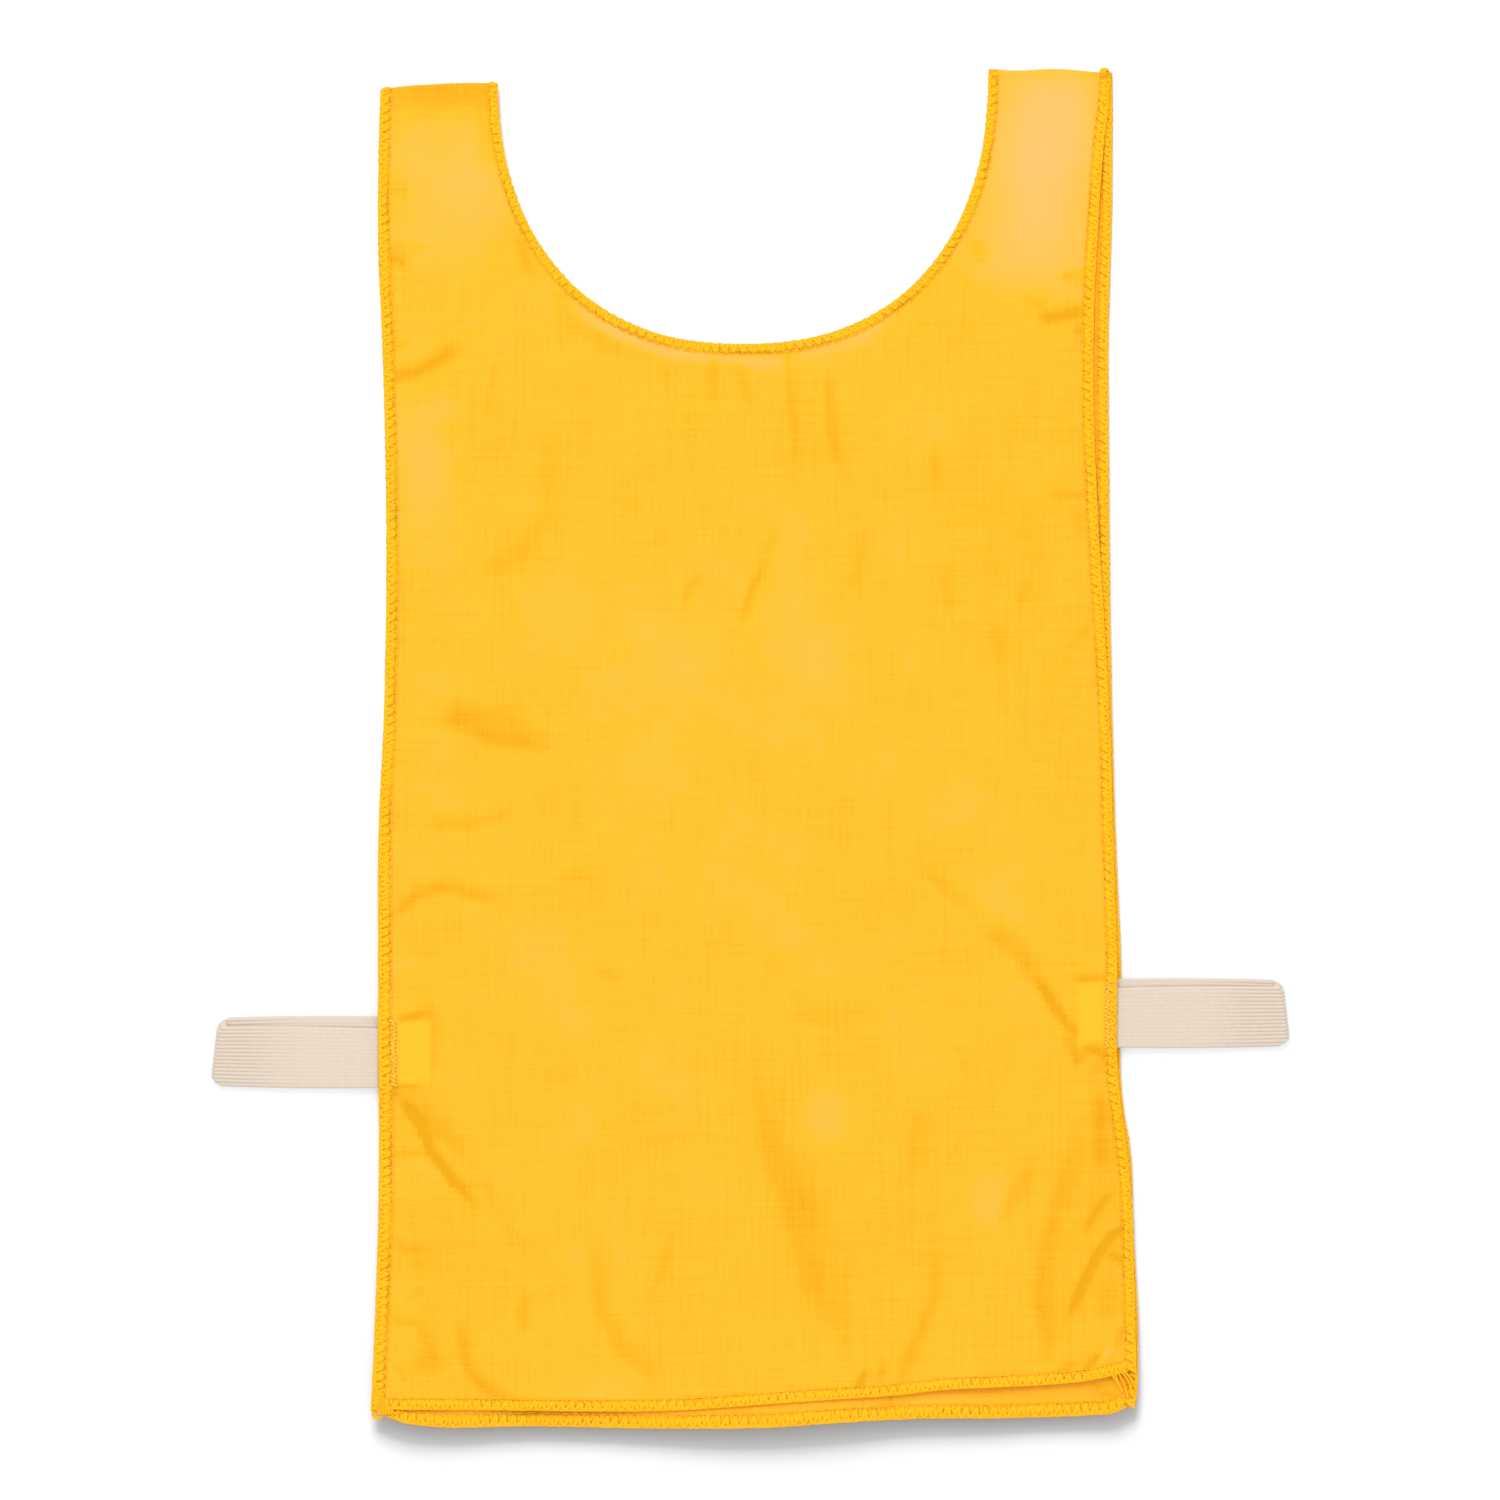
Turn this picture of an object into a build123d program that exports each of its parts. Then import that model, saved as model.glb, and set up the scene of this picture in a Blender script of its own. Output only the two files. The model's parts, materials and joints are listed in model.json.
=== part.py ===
"""Pull-over training bib: a front and a back panel of thin woven cloth, joined by a fold over each
shoulder, with an overlocked edge all round and an elastic loop at each side.

It lies flat on its back. +X is to the right, +Y towards the shoulders and +Z up, through the cloth.
Left is -X. The origin is under the middle of the whole bib, on the surface that it lies on.
Sizes are in millimetres.
"""

from build123d import *
import math
import os

# Cloth
shoulder_width = 300.0  # edge to edge at the shoulder folds
hem_flare = 6.0  # how much further out each side edge is at the back hem
strap_width = 48.5  # cloth at each side of the neckline, on the fold
neck_depth = 110.0  # shoulder fold to the lowest point of the neckline
neck_lean = 4.0  # how far the neckline opens towards the shoulder
neck_corner = 88.0  # radius at each side of the neckline
back_length = 553.0  # shoulder fold to hem
front_length = 545.0  # shoulder fold to the left end of the front hem
front_hem_rise = 12.0  # how much higher the right end of the front hem lies
cloth_thickness = 0.25

# Overlocked edges
seam_width = 4.6
thread = 0.35  # thickness of a layer of looper thread
needle_row = 0.5  # width of the row of needle thread
bartack_width = 3.5
bartack_overhang = 1.0  # how far a bartack runs past each edge of the elastic
stitch_gap = 0.3  # between a needle row and the bartack beside it
chain_diameter = 0.9  # of the thread chain left at the end of a seam
chain_length = 7.0

# Elastic
band_width = 25.4
band_thickness = 1.3
tail_length = 19.5  # sewn end of the elastic, in from the edge of the cloth
loop_reach = 64.5  # from where the elastic leaves the panels to the middle of its fold
left_drop = 403.0  # shoulder fold to the middle of the left elastic
right_drop = 387.0
layer_gap = 0.3  # air between the front and the back run of a loop
side_gap = 0.3  # between the edge of a panel and the turning end of a run
core_count = 16
core_width = 0.7
core_height = 0.5

# Heights of the layers, from the surface up
back_outer = 0.0
back_cloth = back_outer + thread
back_inner = back_cloth + cloth_thickness
back_tail = back_inner + thread
front_tail = back_tail + band_thickness + layer_gap
front_inner = front_tail + band_thickness
front_cloth = front_inner + thread
front_outer = front_cloth + cloth_thickness
top = front_outer + thread
middle = top / 2

# Places
hinge_y = (back_length + thread - middle) / 2  # the shoulder fold's centre line, with the bib centred on Y
fold_radius = (front_cloth - back_cloth) / 2  # of the middle of the cloth, round the shoulder fold
neck_half = shoulder_width / 2 - strap_width
PANELS = {
    "back": {"outer": back_outer, "cloth": back_cloth, "inner": back_inner, "length": back_length, "rise": 0.0},
    "front": {
        "outer": front_outer,
        "cloth": front_cloth,
        "inner": front_inner,
        "length": front_length,
        "rise": front_hem_rise,
    },
}
SIDES = {"left": -1, "right": 1}
DROPS = {"left": left_drop, "right": right_drop}

os.makedirs("parts", exist_ok=True)


def save(part, name):
    part.label = name
    export_step(part, f"parts/{name}.step")


# Outlines


def edge_x(y):
    """Half the width of a panel at a height y."""
    return shoulder_width / 2 + hem_flare * (hinge_y - y) / back_length


def hem_y(panel, x):
    """Height of a panel's hem at x. The front hem rises from left to right."""
    share = x / shoulder_width + 0.5
    return hinge_y - PANELS[panel]["length"] + PANELS[panel]["rise"] * share


def corner(panel, side, inset=0.0, raised=0.0):
    """Where the hem, raised by some height, meets the side edge, moved in by inset."""
    slope = side * PANELS[panel]["rise"] / shoulder_width
    start = hem_y(panel, 0) + raised + slope * (edge_x(0) - inset)
    y = start / (1 + slope * hem_flare / back_length)
    return side * (edge_x(y) - inset), y


def polygon(points):
    with BuildSketch() as shape:
        with BuildLine():
            Polyline(*points, close=True)
        make_face()
    return shape.sketch


def neck_hole(grow):
    """The neckline, open at the shoulders, with its edge moved out into the cloth by grow."""
    bottom = hinge_y - neck_depth + thread
    above = hinge_y + seam_width * 3
    half = neck_half - thread
    right = [(half - neck_lean, bottom), (half, hinge_y), (half, above)]
    left = [(-x, y) for x, y in reversed(right)]
    with BuildSketch() as hole:
        add(polygon(right + left))
        fillet(hole.vertices().group_by(Axis.Y)[0], radius=neck_corner)
        if grow > -thread:
            offset(amount=thread + grow)
    return hole.sketch


def neck_band(inner, outer):
    """The strip of the neck seam from inner to outer, measured from the cut edge into the cloth."""
    with BuildSketch() as band:
        add(neck_hole(outer))
        add(neck_hole(inner), mode=Mode.SUBTRACT)
        with Locations((0, hinge_y - neck_depth)):
            Rectangle(shoulder_width, 2 * neck_depth, mode=Mode.INTERSECT)
    return band.sketch


def side_band(panel, side, inner, outer):
    """The strip of a side seam from inner to outer, measured in from the cut edge."""
    ends = [(side * (edge_x(hinge_y) - inset), hinge_y) for inset in (inner, outer)]
    return polygon(ends + [corner(panel, side, outer), corner(panel, side, inner)])


def hem_band(panel, inner, outer):
    """The strip of a hem from inner to outer, measured up from the cut edge, between the side seams.
    Below the cut edge it runs on under the side seams."""
    inset = -thread if inner < 0 else seam_width + needle_row
    low = [corner(panel, side, inset, inner) for side in (-1, 1)]
    high = [corner(panel, side, inset, outer) for side in (1, -1)]
    return polygon(low + high)


def seam_band(panel, seam, inner, outer):
    if seam == "neck":
        return neck_band(inner, outer)
    if seam == "hem":
        return hem_band(panel, inner, outer)
    return side_band(panel, SIDES[seam.split("_")[0]], inner, outer)


# Cloth and seams


def make_panel(panel):
    left, right = corner(panel, -1), corner(panel, 1)
    with BuildPart() as cloth:
        with BuildSketch(Plane.XY.offset(PANELS[panel]["cloth"])):
            add(polygon([left, right, (edge_x(hinge_y), hinge_y), (-edge_x(hinge_y), hinge_y)]))
            add(neck_hole(0), mode=Mode.SUBTRACT)
        extrude(amount=cloth_thickness)
    save(cloth.part, f"{panel}_panel")


def make_looper(panel, seam, face):
    """A looper thread: a layer on one face of the cloth, turned over the cut edge to the cloth's middle."""
    layer = PANELS[panel][face]
    cloth_middle = PANELS[panel]["cloth"] + cloth_thickness / 2
    low = min(layer, cloth_middle)
    high = max(layer + thread, cloth_middle)
    with BuildPart() as looper:
        with BuildSketch(Plane.XY.offset(layer)):
            add(seam_band(panel, seam, 0, seam_width))
        extrude(amount=thread)
        with BuildSketch(Plane.XY.offset(low)):
            add(seam_band(panel, seam, -thread, 0))
        extrude(amount=high - low)
    save(looper.part, f"{panel}_{seam}_{face}_looper")


def make_needle_thread(panel, seam):
    """The needle thread, as it shows along the seam's inner side on both faces of the cloth."""
    with BuildPart() as needle:
        for face in ("outer", "inner"):
            with BuildSketch(Plane.XY.offset(PANELS[panel][face])):
                add(seam_band(panel, seam, seam_width, seam_width + needle_row))
            extrude(amount=thread)
    save(needle.part, f"{panel}_{seam}_needle_thread")


def make_chain(side_name):
    """The end of the overlock chain, left hanging from a corner of the front hem."""
    side = SIDES[side_name]
    x, y = corner("front", side)
    start = Vector(x - side * seam_width / 2, y - thread - stitch_gap, front_cloth + cloth_thickness / 2)
    end = start + Vector(-side * chain_length / 4, -chain_length)
    with BuildPart() as chain:
        with BuildLine():
            TangentArc(start, end, tangent=(side, -2, 0))
        with BuildSketch(Plane(origin=start, z_dir=(side, -2, 0))):
            Circle(chain_diameter / 2)
        sweep()
    save(chain.part, f"front_{side_name}_chain_tail")


# Shoulder folds


def fold_profile(strips):
    """A cut across the shoulder fold, from strips of (x from, x to, inner radius, outer radius)."""
    with BuildSketch(Plane.XZ.offset(-hinge_y)) as profile:
        for start, end, inner, outer in strips:
            with Locations(((start + end) / 2, middle + (inner + outer) / 2)):
                Rectangle(abs(end - start), outer - inner)
    return profile.sketch


def revolve_fold(strips, name):
    with BuildPart() as fold:
        revolve(fold_profile(strips), axis=Axis((0, hinge_y, middle), (-1, 0, 0)), revolution_arc=180)
    save(fold.part, name)


def make_shoulder_fold(side_name):
    side = SIDES[side_name]
    inner = fold_radius - cloth_thickness / 2
    outer = fold_radius + cloth_thickness / 2
    edges = [(side * shoulder_width / 2, side), (side * neck_half, -side)]
    revolve_fold([(edges[1][0], edges[0][0], inner, outer)], f"{side_name}_shoulder_fold")
    loopers = []
    needles = []
    for x, out in edges:
        over = x - out * seam_width
        loopers += [(over, x, outer, outer + thread), (over, x, inner - thread, inner)]
        loopers += [(x, x + out * thread, inner - thread, outer + thread)]
        row = (over, over - out * needle_row)
        needles += [(*row, outer, outer + thread), (*row, inner - thread, inner)]
    revolve_fold(loopers, f"{side_name}_shoulder_fold_loopers")
    revolve_fold(needles, f"{side_name}_shoulder_fold_needle_thread")


# Elastic loops


def band_y(side_name):
    return hinge_y - DROPS[side_name]


def root_x(side_name):
    """Where a run turns, outside the panels' edge."""
    widest = edge_x(band_y(side_name) - band_width / 2)
    return widest + thread + side_gap + band_thickness / 2


def fold_x(side_name, y):
    """The fold of a loop lies on a line through the shoulder fold, so that the loop opens without a twist."""
    return root_x(side_name) + loop_reach * (hinge_y - y) / DROPS[side_name]


def core_ys(side_name):
    pitch = band_width / core_count
    first = band_y(side_name) - band_width / 2 + pitch / 2
    return [first + pitch * i for i in range(core_count)]


def tail_ends(side_name):
    outer = root_x(side_name) - band_thickness / 2 - side_gap / 2
    inner = edge_x(band_y(side_name)) - tail_length
    return inner, outer


def bartack_sketch(side_name):
    side = SIDES[side_name]
    inset = seam_width + needle_row + stitch_gap + bartack_width / 2
    x = edge_x(band_y(side_name)) - inset
    with BuildSketch() as strip:
        with Locations((side * x, band_y(side_name))):
            Rectangle(bartack_width, band_width + 2 * bartack_overhang)
    return strip.sketch


def tail_core_sketch(side_name):
    inner, outer = tail_ends(side_name)
    with BuildSketch() as cores:
        with Locations(*[(SIDES[side_name] * (inner + outer) / 2, y) for y in core_ys(side_name)]):
            Rectangle(outer - inner, core_width)
    return cores.sketch


def run_core_sketch(side_name):
    side = SIDES[side_name]
    start = root_x(side_name)
    with BuildSketch() as cores:
        for y in core_ys(side_name):
            low, high = y - core_width / 2, y + core_width / 2
            ends = [(fold_x(side_name, high), high), (fold_x(side_name, low), low)]
            with BuildLine():
                Polyline(
                    (side * start, low),
                    (side * start, high),
                    *[(side * x, end_y) for x, end_y in ends],
                    close=True,
                )
            make_face()
    return cores.sketch


def core_level(band_z):
    return band_z + (band_thickness - core_height) / 2


def make_tail(side_name, panel):
    """The sewn end of the elastic, against the inner face of a panel."""
    level = {"back": back_tail, "front": front_tail}[panel]
    inner_face = {"back": back_tail + band_thickness - thread, "front": front_tail}[panel]
    side = SIDES[side_name]
    inner, outer = tail_ends(side_name)
    with BuildPart() as cover:
        with BuildSketch(Plane.XY.offset(level)):
            with Locations((side * (inner + outer) / 2, band_y(side_name))):
                Rectangle(outer - inner, band_width)
        extrude(amount=band_thickness)
        with BuildSketch(Plane.XY.offset(inner_face)):
            add(bartack_sketch(side_name))
        extrude(amount=thread, mode=Mode.SUBTRACT)
        with BuildSketch(Plane.XY.offset(core_level(level))):
            add(tail_core_sketch(side_name))
        extrude(amount=core_height, mode=Mode.SUBTRACT)
    save(cover.part, f"{side_name}_elastic_{panel}_tail")
    with BuildPart() as cores:
        with BuildSketch(Plane.XY.offset(core_level(level))):
            add(tail_core_sketch(side_name))
        extrude(amount=core_height)
    save(cores.part, f"{side_name}_elastic_{panel}_tail_cores")


def make_run(side_name, panel):
    """A free run of the elastic, from the round end that turns beside the panel's edge to the loop's fold."""
    level = {"back": back_tail, "front": front_tail}[panel]
    side, y = SIDES[side_name], band_y(side_name)
    ends = [y + band_width / 2, y - band_width / 2]
    start = root_x(side_name)
    outline = [(side * start, end) for end in ends]
    outline += [(side * fold_x(side_name, end), end) for end in reversed(ends)]
    turn = Plane(origin=(side * start, ends[1], level + band_thickness / 2), x_dir=(1, 0, 0), z_dir=(0, 1, 0))
    with BuildPart() as cover:
        with BuildSketch(Plane.XY.offset(level)):
            add(polygon(outline))
        extrude(amount=band_thickness)
        with BuildSketch(turn):
            Circle(band_thickness / 2)
        extrude(amount=band_width)
        with BuildSketch(Plane.XY.offset(core_level(level))):
            add(run_core_sketch(side_name))
        extrude(amount=core_height, mode=Mode.SUBTRACT)
    save(cover.part, f"{side_name}_elastic_{panel}_run")
    with BuildPart() as cores:
        with BuildSketch(Plane.XY.offset(core_level(level))):
            add(run_core_sketch(side_name))
        extrude(amount=core_height)
    save(cores.part, f"{side_name}_elastic_{panel}_run_cores")


def make_loop_fold(side_name):
    """The bend that joins the two runs of a loop, turned about the loop's slanting fold line."""
    side, y = SIDES[side_name], band_y(side_name)
    slant = math.atan(loop_reach / DROPS[side_name])
    along = Vector(side * math.sin(slant), -math.cos(slant), 0)
    centre = Vector(side * fold_x(side_name, y), y, middle)
    upright = Plane(origin=centre, x_dir=along, z_dir=along.cross(Vector(0, 0, 1)))
    turn = Axis(centre, along * -side)
    radius = (layer_gap + band_thickness) / 2
    core_places = [((y - core_y) / math.cos(slant), radius) for core_y in core_ys(side_name)]
    with BuildPart() as cores:
        with BuildSketch(upright):
            with Locations(*core_places):
                Rectangle(core_width / math.cos(slant), core_height)
        revolve(axis=turn, revolution_arc=180)
    save(cores.part, f"{side_name}_elastic_fold_cores")
    with BuildPart() as cover:
        with BuildSketch(upright):
            with Locations((0, radius)):
                Rectangle(band_width / math.cos(slant), band_thickness)
        revolve(axis=turn, revolution_arc=180)
        add(cores.part, mode=Mode.SUBTRACT)
    save(cover.part, f"{side_name}_elastic_fold")


def make_bartack(side_name, panel):
    """The dense stitching that holds an elastic: outside the panel, under it, and let into the elastic."""
    inner_face = {"back": back_tail + band_thickness - thread, "front": front_tail}[panel]
    with BuildPart() as bartack:
        for level in (PANELS[panel]["outer"], PANELS[panel]["inner"], inner_face):
            with BuildSketch(Plane.XY.offset(level)):
                add(bartack_sketch(side_name))
            extrude(amount=thread)
    save(bartack.part, f"{panel}_{side_name}_bartack")


for panel_name in PANELS:
    make_panel(panel_name)
    for seam_name in ("neck", "left_side", "right_side", "hem"):
        make_needle_thread(panel_name, seam_name)
        for face_name in ("outer", "inner"):
            make_looper(panel_name, seam_name, face_name)

for name in SIDES:
    make_shoulder_fold(name)
    make_loop_fold(name)
    make_chain(name)
    for panel_name in PANELS:
        make_tail(name, panel_name)
        make_run(name, panel_name)
        make_bartack(name, panel_name)
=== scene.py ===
"""A pull-over training bib in thin yellow nylon, laid flat.

Two panels, overlocked edges and an elastic loop at each side.
"""

import json
import math
import random

import bmesh
import bpy
import numpy as np
from mathutils import Matrix, Vector

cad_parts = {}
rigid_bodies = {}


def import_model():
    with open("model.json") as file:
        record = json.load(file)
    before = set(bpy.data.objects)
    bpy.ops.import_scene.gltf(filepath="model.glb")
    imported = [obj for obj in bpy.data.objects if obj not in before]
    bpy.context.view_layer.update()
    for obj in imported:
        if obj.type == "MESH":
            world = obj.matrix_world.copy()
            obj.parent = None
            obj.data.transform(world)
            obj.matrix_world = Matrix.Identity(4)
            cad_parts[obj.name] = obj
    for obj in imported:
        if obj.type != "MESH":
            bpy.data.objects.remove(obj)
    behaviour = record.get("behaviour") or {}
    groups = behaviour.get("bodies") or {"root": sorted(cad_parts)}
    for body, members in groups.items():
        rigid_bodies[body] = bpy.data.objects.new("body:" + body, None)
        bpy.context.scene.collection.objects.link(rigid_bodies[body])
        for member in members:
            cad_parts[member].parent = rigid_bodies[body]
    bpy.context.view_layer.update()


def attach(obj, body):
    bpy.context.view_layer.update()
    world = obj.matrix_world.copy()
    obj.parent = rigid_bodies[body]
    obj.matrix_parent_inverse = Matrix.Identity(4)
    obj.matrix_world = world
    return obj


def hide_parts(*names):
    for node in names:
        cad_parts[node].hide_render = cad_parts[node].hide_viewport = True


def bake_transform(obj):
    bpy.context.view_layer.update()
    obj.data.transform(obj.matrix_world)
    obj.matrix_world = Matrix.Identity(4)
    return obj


bl_info = {
    "name": "Training bib",
    "version": (1, 0, 0),
    "blender": (4, 5, 0),
    "location": "3D View > Sidebar > Bib",
    "description": "Makes a flat-laid training bib, its stitching and its elastic loops",
    "category": "Add Mesh",
}

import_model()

MM = 0.001
SIDES = {"left": -1, "right": 1}
PANELS = ("back", "front")
# Each seam's width against the usual width
SEAMS = {"neck": 0.9, "left_side": 1.0, "right_side": 1.0, "hem": 1.04}
BACK_HEM_SHARE = 1.26
# The left seam widens by this much between these heights
LEFT_SPREAD = 0.27
LEFT_SPREAD_FROM = 60
LEFT_SPREAD_OVER = 150

# Outlines, in millimetres from the middle of the bib. A side edge is (height, distance out);
# a hem or the shoulder line is (distance across, height).
LEFT_EDGE = (
    (-282, 156), (-268, 155.4), (-240, 154.2), (-190, 152.6), (-90, 152.7), (-30, 152.4),
    (10, 150.4), (50, 149.4), (110, 149.4), (170, 151), (210, 152.6), (245, 152.4), (285, 151.2),
)
FRONT_RIGHT = (
    (-262, 158.6), (-220, 157.8), (-178, 156.2), (-152, 153.2), (-140, 151.6), (-82, 150.6),
    (-40, 149.2), (10, 147.8), (50, 145.6), (95, 142.9), (142, 141.1), (182, 141.3), (220, 143.2),
    (250, 145.4), (272, 147.9), (286, 148.2),
)
BACK_RIGHT = (
    (-282, 153.5), (-276, 156), (-266, 158.4), (-245, 159.2), (-197, 157.4), (-160, 155.6),
    (-149, 153.6), (-140, 152.6), (-90, 152.3), (-33, 150), (49, 148), (111, 147.4), (173, 147.2),
    (220, 148.5), (286, 148.8),
)
FRONT_HEM = (
    (-165, -270.4), (-140, -270.7), (-100, -271), (-60, -271.4), (-30, -271), (0, -269),
    (20, -267.5), (40, -266.2), (60, -264.8), (80, -262.6), (100, -261.5), (120, -260.6),
    (140, -258.6), (158, -254.6), (165, -253.6),
)
BACK_HEM = (
    (-165, -269), (-152, -272.2), (-146, -274.7), (-140, -276.4), (-133, -277.3), (-90, -277.5),
    (-30, -278.4), (12, -277.7), (29, -276.5), (62, -274.6), (110, -274), (140, -272.9),
    (150, -271.8), (156, -268.8), (165, -262),
)
EDGES = {
    "front": {"left": LEFT_EDGE, "right": FRONT_RIGHT, "hem": FRONT_HEM},
    "back": {"left": LEFT_EDGE, "right": BACK_RIGHT, "hem": BACK_HEM},
}
SHOULDER = (
    (-165, 270.4), (-152, 271), (-144, 271.7), (-132, 272.3), (-120, 272.9), (-104, 272.9),
    (95, 278.3), (101, 278.6), (105, 278.2), (125, 278.7), (146, 277.9), (151, 278.3),
    (165, 278.3),
)
# The neckline, a rounded U. Above 2, the shape is squarer than an ellipse.
NECK_MIDDLE = -2.9
NECK_HALF = 100.9
NECK_TOP = 279.0
NECK_DEPTH = 112.4
NECK_SHAPE = 2.3
BACK_NECK_GROW = 0.6

# The elastic loops: middle, how far each run is shifted from it, tip, and the slant of the tip
BAND_MIDDLE = {"left": -124.1, "right": -108.1}
BAND_STEP = {"left": 2.5, "right": 1.9}
BAND_TIP = {"left": 221.3, "right": 221.6}
BAND_SLANT = 0.115
BAND_HALF = 12.2
BAND_SWELL = 0.5
BAND_TURN = 0.9
CORNER_ROUND = 3.4
CORNER_FROM = 0.74
CORNER_POWER = 2.2
EDGE_DROOP = 0.36
GROOVE_DEPTH = 0.3
TAIL_LENGTH = {"left": 20.5, "right": 15.0}
BARTACK_IN = {"left": 4.6, "right": 2.0}
BARTACK_ROWS = 2
BARTACK_STITCHES = 34

# Heights of the middle of each layer
LEVEL = {"back": 1.1, "front": 3.3}
SIDE_LEVEL = 2.15
BAND_HEIGHT = {"back": (2.1, 1.1), "front": (3.2, 2.3)}
# Between these heights an elastic's fold turns from its lower to its upper run
OVER_BAND = 4.4
LAYER_GAP = 1.05
HEM_CURL = 6.1
FRONT_CURL = 0.5
CURL_REACH = 24
CALM_REACH = 60

# Thickness of other threads against the looper yarn's, and of the bartack's against the needle's
PURL_SHARE = 0.42
KNOT_SHARE = 0.8
LOOSE_SHARE = 0.42
BARTACK_SHARE = 1.5

# Narrowest crease that the mesh of the front can hold
CREASE_LEAST = 1.9
# Strengths of the colour painted as shade (below 0, as highlight): along creases, in patches and
# under the seams
CREASE_SHADE = 1.45
PATCH_SHADE = 1.5
SEAM_SHADE = 0.9
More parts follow.
